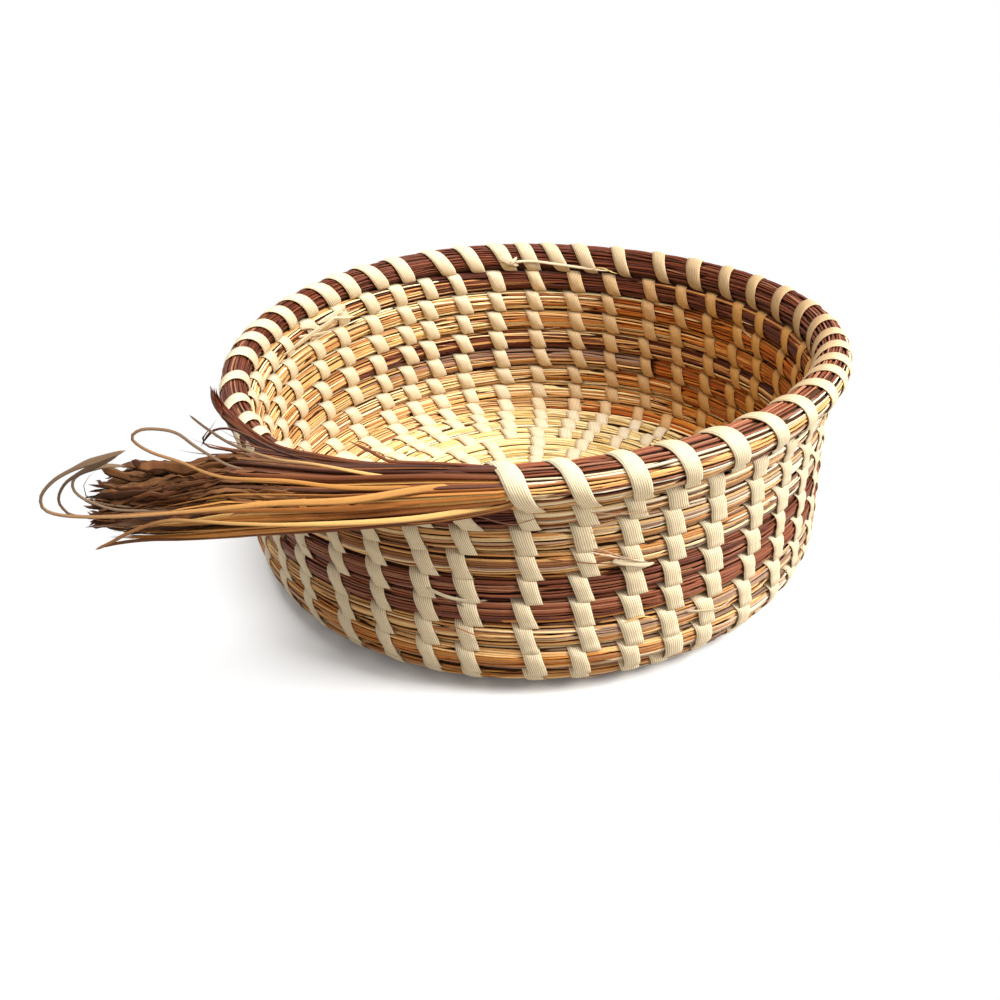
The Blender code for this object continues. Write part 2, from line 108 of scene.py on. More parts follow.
class Wire:
    """A socket in a material's node tree that sums and products can be written with."""

    def __init__(self, graph: "Graph", socket: bpy.types.NodeSocket) -> None:
        """Wraps a socket.

        Args:
            graph: The node tree that the socket belongs to.
            socket: The output socket.
        """
        self.graph = graph
        self.socket = socket

    def _math(self, operation: str, *values: "Wire | float") -> "Wire":
        """Adds a Math node and wraps its result."""
        settings = {"operation": operation}
        return self.graph.node("ShaderNodeMath", settings, dict(enumerate(values)))

    def __add__(self, other: "Wire | float") -> "Wire":
        """Sum."""
        return self._math("ADD", self, other)

    def __sub__(self, other: "Wire | float") -> "Wire":
        """Difference."""
        return self._math("SUBTRACT", self, other)

    def __rsub__(self, other: float) -> "Wire":
        """Difference, reflected."""
        return self._math("SUBTRACT", other, self)

    def __mul__(self, other: "Wire | float") -> "Wire":
        """Product."""
        return self._math("MULTIPLY", self, other)

    def __pow__(self, other: float) -> "Wire":
        """Power."""
        return self._math("POWER", self, other)

    __radd__ = __add__
    __rmul__ = __mul__

    def sine(self) -> "Wire":
        """Sine of the value."""
        return self._math("SINE", self)

    def magnitude(self) -> "Wire":
        """The value without its sign."""
        return self._math("ABSOLUTE", self)


class Graph:
    """A node tree that is written as expressions."""

    def __init__(self, tree: bpy.types.NodeTree) -> None:
        """Takes the tree.

        Args:
            tree: The node tree.
        """
        self.tree = tree

    def node(self, kind: str, settings: dict, inputs: dict, output: int | str = 0) -> Wire:
        """Adds a node.

        Args:
            kind: The node's type.
            settings: Its properties, which are set before its sockets.
            inputs: Values or wires of its sockets, by name or number.
            output: The socket that is wanted.

        Returns:
            The wanted output.
        """
        made = self.tree.nodes.new(kind)
        for name, value in settings.items():
            setattr(made, name, value)
        for key, value in inputs.items():
            self.connect(value, made.inputs[key])
        return Wire(self, made.outputs[output])

    def connect(self, value: object, socket: bpy.types.NodeSocket) -> None:
        """Links a wire to a socket, or sets a plain value on it.

        Args:
            value: A wire, or a number or colour.
            socket: The input socket.
        """
        if isinstance(value, Wire):
            self.tree.links.new(value.socket, socket)
        else:
            socket.default_value = value

    def attribute(self, name: str, output: str) -> Wire:
        """Reads one of the mesh's own attributes."""
        return self.node("ShaderNodeAttribute", {"attribute_name": name}, {}, output)

    def place(self) -> Wire:
        """The point on the object, in its own coordinates."""
        return self.node("ShaderNodeTexCoord", {}, {}, "Object")

    def noise(self, vector: Wire, scale: float, detail: float) -> Wire:
        """Noise from 0 to 1 over a vector."""
        inputs = {"Vector": vector, "Scale": scale, "Detail": detail}
        return self.node("ShaderNodeTexNoise", {}, inputs, "Fac")

    def streaks(self, paces: tuple[float, float], scale: float, detail: float) -> Wire:
        """Noise over a strand, drawn out by its paces along and across the strand.

        Args:
            paces: How fast it changes along the strand and across it.
            scale: The noise's scale.
            detail: Its detail.

        Returns:
            The noise, from 0 to 1.
        """
        shares = {
            index: self.attribute(name, "Fac") * pace
            for index, (name, pace) in enumerate(zip(("along", "across"), paces))
        }
        return self.noise(self.node("ShaderNodeCombineXYZ", {}, shares), scale, detail)

    def ramp(self, value: Wire, low: float, high: float) -> Wire:
        """A smooth rise from 0 at one value to 1 at another."""
        inputs = {"Value": value, "From Min": low, "From Max": high}
        return self.node("ShaderNodeMapRange", {"interpolation_type": "SMOOTHSTEP"}, inputs)

    def filter(self, first: Wire, second: Wire) -> Wire:
        """Product of two colours."""
        return self.node("ShaderNodeVectorMath", {"operation": "MULTIPLY"}, {0: first, 1: second})

    def tint(self, colour: Wire, light: Wire) -> Wire:
        """A colour made lighter or darker by a number."""
        grey = self.node("ShaderNodeCombineXYZ", {}, {0: light, 1: light, 2: light})
        return self.filter(colour, grey)

    def blend(self, share: Wire, first: object, second: object) -> Wire:
        """A colour between two colours."""
        return self.node("ShaderNodeMix", {"data_type": "RGBA"}, {0: share, 6: first, 7: second}, 2)

    def to_camera(self) -> Wire:
        """1 for what the camera sees, straight or by a reflection, else 0.

        Returns:
            The sum of the three kinds of ray.
        """
        camera, glossy, transmitted = (
            self.node("ShaderNodeLightPath", {}, {}, f"Is {kind} Ray")
            for kind in ("Camera", "Glossy", "Transmission")
        )
        return camera + glossy + transmitted


class Recipe(Graph):
    """One material with a Principled shader."""

    def __init__(self, name: str) -> None:
        """Starts the material.

        Args:
            name: The material's name.
        """
        self.material = bpy.data.materials.new(name)
        self.material.use_nodes = True
        super().__init__(self.material.node_tree)
        self.shader = self.tree.nodes["Principled BSDF"]

    def bump(self, height: Wire, strength: float, distance: float) -> None:
        """Feeds a height to the shader's normal."""
        inputs = {"Strength": strength, "Distance": distance, "Height": height}
        self.connect(self.node("ShaderNodeBump", {}, inputs), self.shader.inputs["Normal"])

    def set(self, **values: object) -> None:
        """Sets sockets of the shader, with an underscore for each space in a name."""
        for name, value in values.items():
            self.connect(value, self.shader.inputs[name.replace("_", " ")])


@dataclass(frozen=True)
class StemFinish:
    """Dry stem or blade, in the colour that each strand carries, with a grain along it."""

    name: str
    roughness: float
    streak: float = 0.28
    coat: float = 0.0
    sheen: float = 0.22
    grain_share: float = 0.30
    speck_share: float = 0.16
    speck_scale: float = 900.0
    grain_depth: float = 0.05 * MM

    def make(self) -> bpy.types.Material:
        """Makes the material.

        Returns:
            The material, whose colour follows the strand's tone.
        """
        recipe = Recipe(self.name)
        tone = recipe.attribute("tone", "Color")
        patches = recipe.streaks((18, 2.2), 2.2, 3)
        grain = recipe.streaks((60, 9), 3.0, 2)
        speck = recipe.noise(recipe.place(), self.speck_scale, 2)
        light = 1 - self.streak / 2 + self.streak * patches
        light = light + (grain - 0.5) * self.grain_share + (speck - 0.5) * self.speck_share
        recipe.set(
            Base_Color=recipe.tint(tone, light),
            Roughness=self.roughness + (grain - 0.5) * 0.2,
            Coat_Weight=self.coat,
            Coat_Roughness=0.35,
            Specular_IOR_Level=self.sheen,
        )
        recipe.bump(grain, 0.35, self.grain_depth)
        return recipe.material


@dataclass(frozen=True)
class StripFinish:
    """Pale palm leaf strip with fine ribs along it."""

    name: str
    pale: tuple[float, float, float]
    straw: tuple[float, float, float]
    rib: tuple[float, float, float]
    ribs: int = 9
    rib_waver: float = 1.2
    rib_share: float = 0.9
    rib_depth: float = 0.08 * MM
    roughness: float = 0.55
    sheen: float = 0.3

    def make(self) -> bpy.types.Material:
        """Makes the material.

        Returns:
            The material, ribbed across the strip's width.
        """
        recipe = Recipe(self.name)
        patches = recipe.streaks((9, 1.5), 1.6, 3)
        fibre = recipe.streaks((12, 26), 1.4, 2)
        across = recipe.attribute("across", "Fac")
        wave = (across * (self.ribs * math.pi) + (patches - 0.5) * self.rib_waver).sine()
        ridge = wave.magnitude() ** 0.7
        ground = recipe.blend(patches, self.straw, self.pale)
        ribbed = recipe.blend((1 - ridge) * self.rib_share, ground, self.rib)
        # The tone attribute tints the strip amber as painted shade on the inner right wall
        shaded = recipe.filter(ribbed, recipe.attribute("tone", "Color"))
        recipe.set(
            Base_Color=recipe.tint(shaded, 0.90 + fibre * 0.20),
            Roughness=self.roughness + (fibre - 0.5) * 0.2,
            Specular_IOR_Level=self.sheen,
        )
        recipe.bump(ridge * 0.8 + fibre * 0.4, 0.6, self.rib_depth)
        return recipe.material


@dataclass(frozen=True)
class Finishes:
    """Every material of the basket."""

    grass: bpy.types.Material
    needle: bpy.types.Material
    blade: bpy.types.Material
    core: bpy.types.Material
    strip: bpy.types.Material

    @staticmethod
    def make() -> "Finishes":
        """Makes them all.

        Returns:
            The materials.
        """
        strip = StripFinish(
            "palmetto_strip",
            pale=(*linear(244, 230, 199), 1),
            straw=(*linear(229, 206, 165), 1),
            rib=(*linear(128, 98, 60), 1),
        )
        return Finishes(
            grass=StemFinish("sweetgrass_stem", 0.50, coat=0.06).make(),
            needle=StemFinish("pine_needle", 0.44, streak=0.35, coat=0.05).make(),
            blade=StemFinish("loose_blade", 0.55, streak=0.40).make(),
            # The core's dark tone is painted shade between the stems
            core=StemFinish("painted_shade_core", 0.90, streak=0.5).make(),
            strip=strip.make(),
        )


# Meshes


def smooth_path(points: np.ndarray, count: int) -> np.ndarray:
    """Resamples a path by a smooth curve through its points.

    Args:
        points: The path's points, one a row.
        count: How many points are wanted, evenly spaced.

    Returns:
        The new points.
    """
    points = np.asarray(points, float)
    padded = np.vstack([2 * points[0] - points[1], points, 2 * points[-1] - points[-2]])
    share = np.linspace(0, 1, 12, endpoint=False)[:, None]
    fine = []
    for a, b, c, d in zip(padded, padded[1:], padded[2:], padded[3:]):
        fine.append(0.5 * (2 * b + (c - a) * share + (2 * a - 5 * b + 4 * c - d) * share**2
                           + (3 * b - a - 3 * c + d) * share**3))
    fine = np.vstack([*fine, points[-1:]])
    length = np.concatenate([[0], np.cumsum(np.linalg.norm(np.diff(fine, axis=0), axis=1))])
    wanted = np.linspace(0, length[-1], count)
    return np.stack([np.interp(wanted, length, axis) for axis in fine.T], axis=1)


def ripple(share: np.ndarray, slow: float, fast: float, draw: np.random.Generator) -> np.ndarray:
    """A sine along a strand, from a random start and at a pace between slow and fast."""
    return np.sin(share * draw.uniform(slow, fast) + draw.uniform(0, TAU))


def within(value: float, span: tuple[float, float]) -> bool:
    """Whether a value lies between the span's two ends."""
    return span[0] < value < span[1]


def unit(vectors: np.ndarray) -> np.ndarray:
    """Vectors of length 1."""
    return vectors / np.maximum(np.linalg.norm(vectors, axis=-1, keepdims=True), 1e-12)


def headings(points: np.ndarray) -> np.ndarray:
    """The direction of a path at each of its points."""
    return unit(np.gradient(points, axis=0))


@dataclass
class Strand:
    """One stem, needle, blade or strip: a path with a flat or round section."""

    points: np.ndarray
    normals: np.ndarray
    half_width: np.ndarray
    half_depth: np.ndarray
    tone: np.ndarray | tuple[float, float, float]
    offset: float = 0.0

    def rings(self, sides: int) -> np.ndarray:
        """Points around the strand, one ring a row, whose ends are drawn to a point.

        Args:
            sides: Sides of the section.

        Returns:
            An array of rings, sides + 1 and 3, whose first and last side are the same.
        """
        tip = np.ones(len(self.points))
        tip[[0, -1]] = 0
        along = headings(self.points)
        across = unit(np.cross(along, self.normals))
        face = unit(np.cross(across, along))
        angle = np.linspace(0, TAU, sides + 1)[None, :, None]
        wide = (self.half_width * tip)[:, None, None] * np.cos(angle) * across[:, None]
        deep = (self.half_depth * tip)[:, None, None] * np.sin(angle) * face[:, None]
        return self.points[:, None] + wide + deep

    def measures(self) -> np.ndarray:
        """Each point's length along the strand for the material, in tenths of a metre."""
        length = np.linalg.norm(np.diff(self.points, axis=0), axis=1).sum()
        return np.linspace(0, 1, len(self.points)) * length / (100 * MM) + self.offset


def cut_grid(points: np.ndarray, tones: np.ndarray, along: np.ndarray, across: np.ndarray,
             ends: np.ndarray) -> bmesh.types.BMesh:
    """Makes one long grid of strands or stitches laid end to end, and cuts them apart.

    Args:
        points: Places, by row along the strands and by column across them.
        tones: Each row's colour.
        along: Each row's measure along its strand, for the material.
        across: Each column's measure across it.
        ends: The last row of each strand.

    Returns:
        The grid.
    """
    rows, columns = points.shape[:2]
    bm = bmesh.new()
    bmesh.ops.create_grid(bm, x_segments=rows - 1, y_segments=columns - 1, size=1)
    tone_layer = bm.verts.layers.float_color.new("tone")
    along_layer = bm.verts.layers.float.new("along")
    across_layer = bm.verts.layers.float.new("across")
    for index, vert in enumerate(bm.verts):
        column, row = divmod(index, rows)
        vert.co = points[row, column]
        vert[tone_layer] = (*tones[row], 1)
        vert[along_layer] = along[row]
        vert[across_layer] = across[column]
        vert.index = row
    last_rows = set(ends.tolist())
    bridges = [face for face in bm.faces if min(v.index for v in face.verts) in last_rows]
    bmesh.ops.delete(bm, geom=bridges, context="FACES")
    return bm


def finish_mesh(name: str, bm: bmesh.types.BMesh, material: bpy.types.Material) -> bpy.types.Object:
    """Makes a smooth object from a bmesh and sets its material.

    Args:
        name: The object's name.
        bm: The bmesh, which is freed.
        material: Its material.

    Returns:
        The object, in the scene.
    """
    mesh = bpy.data.meshes.new(name)
    bm.to_mesh(mesh)
    bm.free()
    mesh.materials.append(material)
    mesh.shade_smooth()
    made = bpy.data.objects.new(name, mesh)
    bpy.context.scene.collection.objects.link(made)
    return made


def place_piece(made: bpy.types.Object, slot: str, *nodes: str) -> None:
    """Hangs a piece on the basket's one body, and hides the solids it stands for.

    Args:
        made: The piece.
        slot: Its material slot in the record; not used.
        *nodes: Names of the solids that it stands for, if any.
    """
    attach(made, "root")
    if nodes:
        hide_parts(*nodes)
    LOG.info("%s: %d faces", made.name, len(made.data.polygons))


@dataclass(frozen=True)
class StrandPiece:
    """Strands that become one mesh."""

    name: str
    sides: int
    strands: list[Strand]

    def build(self, material: bpy.types.Material) -> bpy.types.Object:
        """Makes the mesh: every strand is rolled to a closed tube.

        Args:
            material: The strands' material.

        Returns:
            The object.
        """
        counts = [len(strand.points) for strand in self.strands]
        along = np.concatenate([strand.measures() for strand in self.strands])
        tones = [np.broadcast_to(strand.tone, (len(strand.points), 3)) for strand in self.strands]
        rings = np.concatenate([strand.rings(self.sides) for strand in self.strands])
        across = np.abs(np.linspace(-1, 1, self.sides + 1))
        bm = cut_grid(rings, np.concatenate(tones), along, across, np.cumsum(counts) - 1)
        bmesh.ops.remove_doubles(bm, verts=bm.verts, dist=1e-6)
        bmesh.ops.recalc_face_normals(bm, faces=bm.faces)
        return finish_mesh(self.name, bm, material)

    def place(self, material: bpy.types.Material, slot: str, *nodes: str) -> None:
        """Makes the mesh and hangs it on the basket, with the solids it stands for."""
        place_piece(self.build(material), slot, *nodes)


# The coil's shape


def bearing(turn: np.ndarray) -> np.ndarray:
    """Angle round the basket at a place along the bundle."""
    return -math.pi / 2 + TAU * turn


def azimuth(turn: float) -> float:
    """The same in degrees, from -180 to 180, where 0 is the basket's right side."""
    return (-90 + 360 * turn + 180) % 360 - 180


def azimuth_turn(degrees: float) -> float:
    """The share of a turn back from the last stitch at which an azimuth lies."""
    return (degrees + 90) / 360


@dataclass(frozen=True)
class CoilShape:
    """Path and section of the bundle, the same as the solids'."""

    rim_radius: float = 90.0 * MM
    rim_bundle: float = 4.9 * MM
    bundle: float = 3.35 * MM
    start_bundle: float = 1.2 * MM
    knot_radius: float = 4.5 * MM
    gap: float = 0.8 * MM
    lip_run: float = 17.0 * MM
    side_run: float = 35.5 * MM
    corner_radius: float = 12.3 * MM
    rim_flare: float = math.radians(28)
    side_flare: float = math.radians(2.5)
    side_tuck: float = math.radians(0.5)
    oval: float = 2.2 * MM
    saddle: float = 1.9 * MM
    warp_azimuth: float = math.radians(-45)
    flat_share: float = 0.1
    squareness: float = 3.0
    fill: float = 0.07 * MM
    crevice: float = 0.05 * MM
    free_until: float = 0.93
    floor_clearance: float = 0.1 * MM

    @property
    def pitch(self) -> float:
        """Length down the side from one turn to the next."""
        return 2 * self.bundle + self.gap

    @property
    def arcs(self) -> tuple[tuple[float, float, float], ...]:
        """Length of each arc down the profile, with its first and last slope.

        Returns:
            Rows of length, first slope and last slope, from the rim down.
        """
        corner_length = self.corner_radius * (math.pi / 2 - self.side_tuck)
        return (
            (self.lip_run, self.rim_flare, self.side_flare),
            (self.side_run, self.side_flare, self.side_tuck),
            (corner_length, self.side_tuck, math.pi / 2),
        )

    @property
    def corner_run(self) -> float:
        """Length down the side to where the base is flat."""
        return sum(length for length, _, _ in self.arcs)

    @property
    def corner_turn(self) -> float:
        """Turn at which the base becomes flat."""
        return (self.corner_run - self.rim_bundle + self.bundle) / self.pitch

    @property
    def start_turn(self) -> float:
        """Turn at which the bundle leaves the knot in the middle of the base.

        Returns:
            The turn, counted back from the last stitch.
        """
        flat_radius = self.profile(np.array([self.corner_run]))[0][0]
        start_radius = self.knot_radius + self.gap + self.start_bundle
        flat = flat_radius - start_radius + self.bundle - self.start_bundle
        return self.corner_turn + flat / self.pitch

    def bundle_radius(self, turn: np.ndarray | float) -> np.ndarray | float:
        """Radius of the bundle, thick at the rim's end and thin at the coil's start.

        Args:
            turn: Places along the bundle.

        Returns:
            The radii there.
        """
        rim = (self.rim_bundle - self.bundle) * np.maximum(0, 1 - turn)
        start = (self.bundle - self.start_bundle) * np.maximum(0, turn - self.start_turn + 1)
        return self.bundle + rim - start

    def run(self, turn: np.ndarray) -> np.ndarray:
        """Length down the profile to the bundle's middle.

        Args:
            turn: Places along the bundle.

        Returns:
            The lengths there.
        """
        rim = (self.rim_bundle - self.bundle) * np.minimum(turn, 1)
        start = (self.bundle - self.start_bundle) * np.maximum(0, turn - self.start_turn + 1)
        return self.pitch * turn + rim - start

    def profile(self, run: np.ndarray) -> tuple[np.ndarray, np.ndarray, np.ndarray]:
        """Distance from the axis, drop below the rim and slope from the vertical.

        Args:
            run: Lengths down the profile from the rim.

        Returns:
            The distances, drops and slopes there.
        """
        radius = np.full_like(run, self.rim_radius)
        drop = np.zeros_like(run)
        slope = np.full_like(run, self.rim_flare)
        left = run.copy()
        for length, first, last in self.arcs:
            covered = np.clip(left, min(0, left.min()) if first == self.rim_flare else 0, length)
            slope = np.where(covered != 0, first + (last - first) * covered / length, slope)
            arc_radius = length / (last - first)
            turned = first + (last - first) * covered / length
            radius = radius - arc_radius * (math.cos(first) - np.cos(turned))
            drop = drop + arc_radius * (np.sin(turned) - math.sin(first))
            left = left - covered
        return radius - left, drop, slope

    def middle(self, turn: np.ndarray) -> np.ndarray:
        """Middle of the bundle.

        Args:
            turn: Places along the bundle.

        Returns:
            The points there.
        """
        run = self.run(turn)
        radius, drop, _ = self.profile(run)
        angle = bearing(turn)
        wave = np.cos(2 * (angle - self.warp_azimuth))
        radius = radius * (1 + self.oval / self.rim_radius * wave)
        height = self.profile(np.array([self.corner_run]))[1][0]
        lift = self.bundle * (1 - 2 * self.flat_share) + height
        upright = np.maximum(0, 1 - run / (self.lip_run + self.side_run))
        z = lift - drop + self.saddle * wave * upright
        return np.stack([radius * np.cos(angle), radius * np.sin(angle), z], axis=-1)

    def radius_at(self, turn: float) -> float:
        """Distance of the bundle's middle from the axis, on a basket that is quite round."""
        return float(self.profile(self.run(np.array([turn])))[0][0])

    def axes(self, turn: np.ndarray) -> tuple[np.ndarray, np.ndarray]:
        """Directions out of the basket's wall and up along it.

        Args:
            turn: Places along the bundle.

        Returns:
            The outward and the upward directions there.
        """
        _, _, slope = self.profile(self.run(turn))
        angle = bearing(turn)
        radial = np.stack([np.cos(angle), np.sin(angle), np.zeros_like(angle)], axis=-1)
        vertical = np.array([0, 0, 1.0])
        slope = slope[..., None]
        return (np.cos(slope) * radial - np.sin(slope) * vertical,
                np.sin(slope) * radial + np.cos(slope) * vertical)

    def section(self, turn: np.ndarray, angle: np.ndarray, squeeze: np.ndarray) -> np.ndarray:
        """Distance from the bundle's middle to its outermost stems.

        Args:
            turn: Places along the bundle.
            angle: Places around it.
            squeeze: How much smaller the bundle is there, in metres.

        Returns:
            The distances: round on the rim's free side, squarer where turns press on each other.
        """
        radius = self.bundle_radius(turn)
        covered = np.clip((turn - self.free_until) / (1 - self.free_until), 0, 1)
        pressed = np.where(np.sin(angle) < 0, 1.0, covered)
        power = 2 + (self.squareness - 2) * pressed
        wide = radius + self.fill - squeeze
        tall = radius + (self.gap / 2 - self.crevice) * pressed - squeeze * (1 - pressed)
        sideways = np.abs(np.cos(angle) / wide) ** power
        return (sideways + np.abs(np.sin(angle) / tall) ** power) ** (-1 / power)

    @staticmethod
    def keep_above(points: np.ndarray, height: np.ndarray | float) -> None:
        """Lifts points that lie lower than a height."""
        points[..., 2] = np.maximum(points[..., 2], height)

    def surface(self, turn: np.ndarray, angle: np.ndarray, reach: np.ndarray) -> np.ndarray:
        """Points at a distance from the bundle's middle.

        Args:
            turn: Places along the bundle.
            angle: Places around it.
            reach: The distances.

        Returns:
            The points.
        """
        out, up = self.axes(turn)
        spread = np.cos(angle)[..., None] * out + np.sin(angle)[..., None] * up
        return self.middle(turn) + reach[..., None] * spread


@dataclass(frozen=True)
class StitchPlan:
    """Where the strip crosses the bundle: azimuths over the bundle's top, in degrees."""

    rim: tuple[float, ...] = (
        -92.4, -84, -75.3, -67.5, -59.3, -51.3, -43.3, -35.5, -29, -23.4, -17, -10.5, -2.8,
        6.6, 16.6, 26.6, 36, 45.4, 55.4, 66, 75.8, 83.5, 89.5, 96, 104, 112, 121, 129, 136,
        143, 150, 156.5, 164, 170, 177, 188, 198, 206.5, 213, 221, 229, 236.5, 243.5, 251, 258,
    )
    wall: tuple[float, ...] = (
        -92, -83.2, -75, -68, -60.6, -52, -43.8, -36, -28, -19.6, -10.5, -1, 9,
        19.4, 27.9, 37.2, 47.2, 56.5, 67.2, 77.2, 87.2, 97.2, 106.5, 115.1, 122, 130, 139.5,
        148.5, 158.5, 167.5, 176.5, 185.5, 195, 204.5, 213.5, 222.9, 232.5, 241.5, 250.5,
        257.8,
    )
    least_spacing: float = 7.0 * MM
    base_spacing: float = 9.2 * MM
    least_share: float = 0.09
    start_margin: float = 0.05
    jitter: float = 0.0022
    seed: int = 5

    def turns(self, shape: CoilShape) -> np.ndarray:
        """Every stitch, in turns from the last one back to the coil's start.

        Args:
            shape: The coil.

        Returns:
            The stitches' turns, rising.
        """
        draw = np.random.default_rng(self.seed)
        found = [azimuth_turn(degrees) for degrees in self.rim]
        for whole in range(1, math.ceil(shape.start_turn)):
            for degrees in self.wall:
                turn = whole + azimuth_turn(degrees) + draw.uniform(-self.jitter, self.jitter)
                round_trip = TAU * shape.radius_at(turn)
                spacing = self.least_spacing if turn < shape.corner_turn else self.base_spacing
                spacing = min(spacing, self.least_share * round_trip)
                apart = (turn - found[-1]) * round_trip > spacing
                if apart and turn < shape.start_turn - self.start_margin:
                    found.append(turn)
        return np.array(found)


class Grade(Enum):
    """Stretches of the coil, each with the solid that it stands for and its slot."""

    RIM = ("rim_coil", "pine_needles")
    UPPER = ("upper_wall_coil", "sweetgrass")
    BAND = ("band_coil", "pine_needles")
    LOWER = ("lower_wall_coil", "sweetgrass")
    BASE = ("base_coil", "sweetgrass")

    @property
    def node(self) -> str:
        """The solid's name."""
        return self.value[0]

    @property
    def slot(self) -> str:
        """The record's material slot."""
        return self.value[1]


@dataclass
class Bundle:
    """The bundle itself: stems side by side round a packed core, coloured dark as painted shade
    between the stems.
    """

    shape: CoilShape
    stitches: np.ndarray
    ticks_per_stitch: int = 4
    stem_radius: float = 0.40 * MM
    stem_spacing: float = 0.66 * MM
    face_angle: float = math.radians(82)
    pinch: float = 0.16 * MM
    bulge: float = 0.20 * MM
    band_start: float = 3.85
    band_end: float = 5.40
    russet_inside: tuple[float, float] = (1.20, 1.60)
    spotted_inside: tuple[float, float] = (4.15, 4.66)
    mauve_inside: tuple[float, float] = (5.2, 5.6)
    # Inner right wall, whose stems are coloured amber as painted shade
    painted_shade_side: tuple[float, float] = (-60, 55)
    # Outer right side, lit by the key lamp: its silvery stems are partly the grass's own pale
    # colour, partly painted highlight
    silver_lit_side: tuple[float, float] = (-78, 60)
    wander: float = math.radians(6)
    stem_length: tuple[float, float] = (45 * MM, 130 * MM)
    stitch_share: float = 0.024
    least_tick: float = 1.8 * MM
    stray_pace: int = 60
    rim_lead: float = -0.011
    core_inset: float = 0.75 * MM
    core_pace: int = 84
    core_free_until: float = 0.95
    core_sink: float = 0.8 * MM
    core_free_lead: float = 0.3 * MM
    core_pressed_lead: float = 0.1 * MM
    core_overlap: float = 0.016
    # Painted shade: the core's dark colour stands for the shadow in the gaps between stems
    core_shade_colour: tuple[int, int, int] = (70, 42, 24)
    seed: int = 21

    def stretches(self) -> dict[Grade, tuple[float, float]]:
        """First and last turn of each stretch.

        Returns:
            The two turns, by stretch.
        """
        return {
            Grade.RIM: (self.rim_lead, 1.0),
            Grade.UPPER: (1.0, self.band_start),
            Grade.BAND: (self.band_start, self.band_end),
            Grade.LOWER: (self.band_end, self.shape.corner_turn),
            Grade.BASE: (self.shape.corner_turn, self.shape.start_turn),
        }

    def ticks(self, first: float, last: float) -> np.ndarray:
        """Places along a stretch, with the same few in each space between stitches.

        Args:
            first: The stretch's first turn.
            last: Its last turn.

        Returns:
            The turns of the places.
        """
        edges = np.concatenate([[self.rim_lead], self.stitches, [self.shape.start_turn]])
        steps = np.arange(self.ticks_per_stitch) / self.ticks_per_stitch
        fine = (edges[:-1, None] + np.diff(edges)[:, None] * steps).ravel()
        inside = fine[(fine > first + 1e-4) & (fine < last - 1e-4)]
        return np.concatenate([[first], inside, [last]])

    def squeeze(self, turn: np.ndarray) -> np.ndarray:
        """How far the stitches draw the bundle in, less what it bulges between them.

        Args:
            turn: Places along the bundle.

        Returns:
            The distances, below 0 where the bundle bulges.
        """
        index = np.clip(np.searchsorted(self.stitches, turn), 1, len(self.stitches) - 1)
        before, after = self.stitches[index - 1], self.stitches[index]
        share = np.clip((turn - before) / (after - before), 0, 1)
        return self.pinch - (self.pinch + self.bulge) * np.sin(math.pi * share) ** 0.8

    def kind(self, turn: float, angle: float, draw: np.random.Generator) -> Fibre:
        """Which fibre a stem is, from where it lies: amber stems on the inner right wall are
        painted shade, and the silvery ones on the outer right are partly painted highlight.

        Args:
            turn: Its place along the bundle.
            angle: Its place around it.
            draw: Random numbers.

        Returns:
            The fibre.
        """
        chance = draw.random()
        corner = self.shape.corner_turn
        if turn < 1:
            # Pale stems on the outer top of the rim's last part: golden is their own colour; the
            # silvery share, which grows towards the lit right, is partly painted highlight
            pale = math.cos(angle) > 0 and angle < math.radians(78 - 60 * turn) and turn < 0.30
            if pale and chance < max(0.60, 0.95 - 4 * turn):
                return Fibre.SILVER if draw.random() < 0.25 + 3 * turn else Fibre.GOLDEN
            return Fibre.RUSSET if turn > 0.22 and chance < 0.75 else Fibre.MAHOGANY
        if math.cos(angle) > 0:
            return self._outer_kind(turn, chance)
        if within(turn, self.russet_inside):
            return Fibre.RUSSET if chance < 0.92 else Fibre.GOLDEN
        if within(turn, self.spotted_inside):
            return Fibre.RUSSET if math.sin(turn * 97) > -0.2 else Fibre.GOLDEN
        # Painted shade: amber stems on the shaded inner right wall
        if within(azimuth(turn), self.painted_shade_side) and turn < corner - 0.3:
            return Fibre.SHADED_AMBER if chance < 0.8 else Fibre.ORANGE
        if within(turn, self.mauve_inside):
            return Fibre.MAUVE if chance < 0.7 else Fibre.GOLDEN
        return Fibre.CREAM if chance < 0.35 or turn > corner - 0.6 else Fibre.GOLDEN

    def _outer_kind(self, turn: float, chance: float) -> Fibre:
        """Which fibre a stem on the outside of the side or base is.

        Args:
            turn: Its place along the bundle.
            chance: A random number from 0 to 1.

        Returns:
            The fibre.
        """
        if self.band_start < turn < self.band_end:
            return Fibre.MAHOGANY if chance < 0.97 else Fibre.ORANGE
        # Silvery stems grow more common towards the lit right side: partly the grass's own colour,
        # partly painted highlight
        lit_silver_share = (azimuth(turn) - self.silver_lit_side[0]) / 45
        if within(azimuth(turn), self.silver_lit_side) and chance < min(0.8, lit_silver_share):
            return Fibre.SILVER
        if chance > 0.86:
            return Fibre.MAUVE
        return Fibre.ORANGE if turn > 6.5 and chance < 0.45 else Fibre.GOLDEN

    def lanes(self, turn: float) -> np.ndarray:
        """Angles at which stems lie side by side on the two faces, or all round at the rim.

        Args:
            turn: A place along the bundle.

        Returns:
            The angles.
        """
        radius = float(self.shape.bundle_radius(np.clip(turn, 0, 17)))
        if turn < 1:
            count = round(math.radians(310) * radius * 1.03 / self.stem_spacing)
            return np.linspace(-math.radians(65), math.radians(245), count)
        spacing = self.stem_spacing * (1.15 if turn > self.shape.corner_turn else 1)
        count = max(4, round(2 * self.face_angle * radius * 1.12 / spacing))
        face = np.linspace(-self.face_angle, self.face_angle, count)
        return np.concatenate([face, math.pi + face])

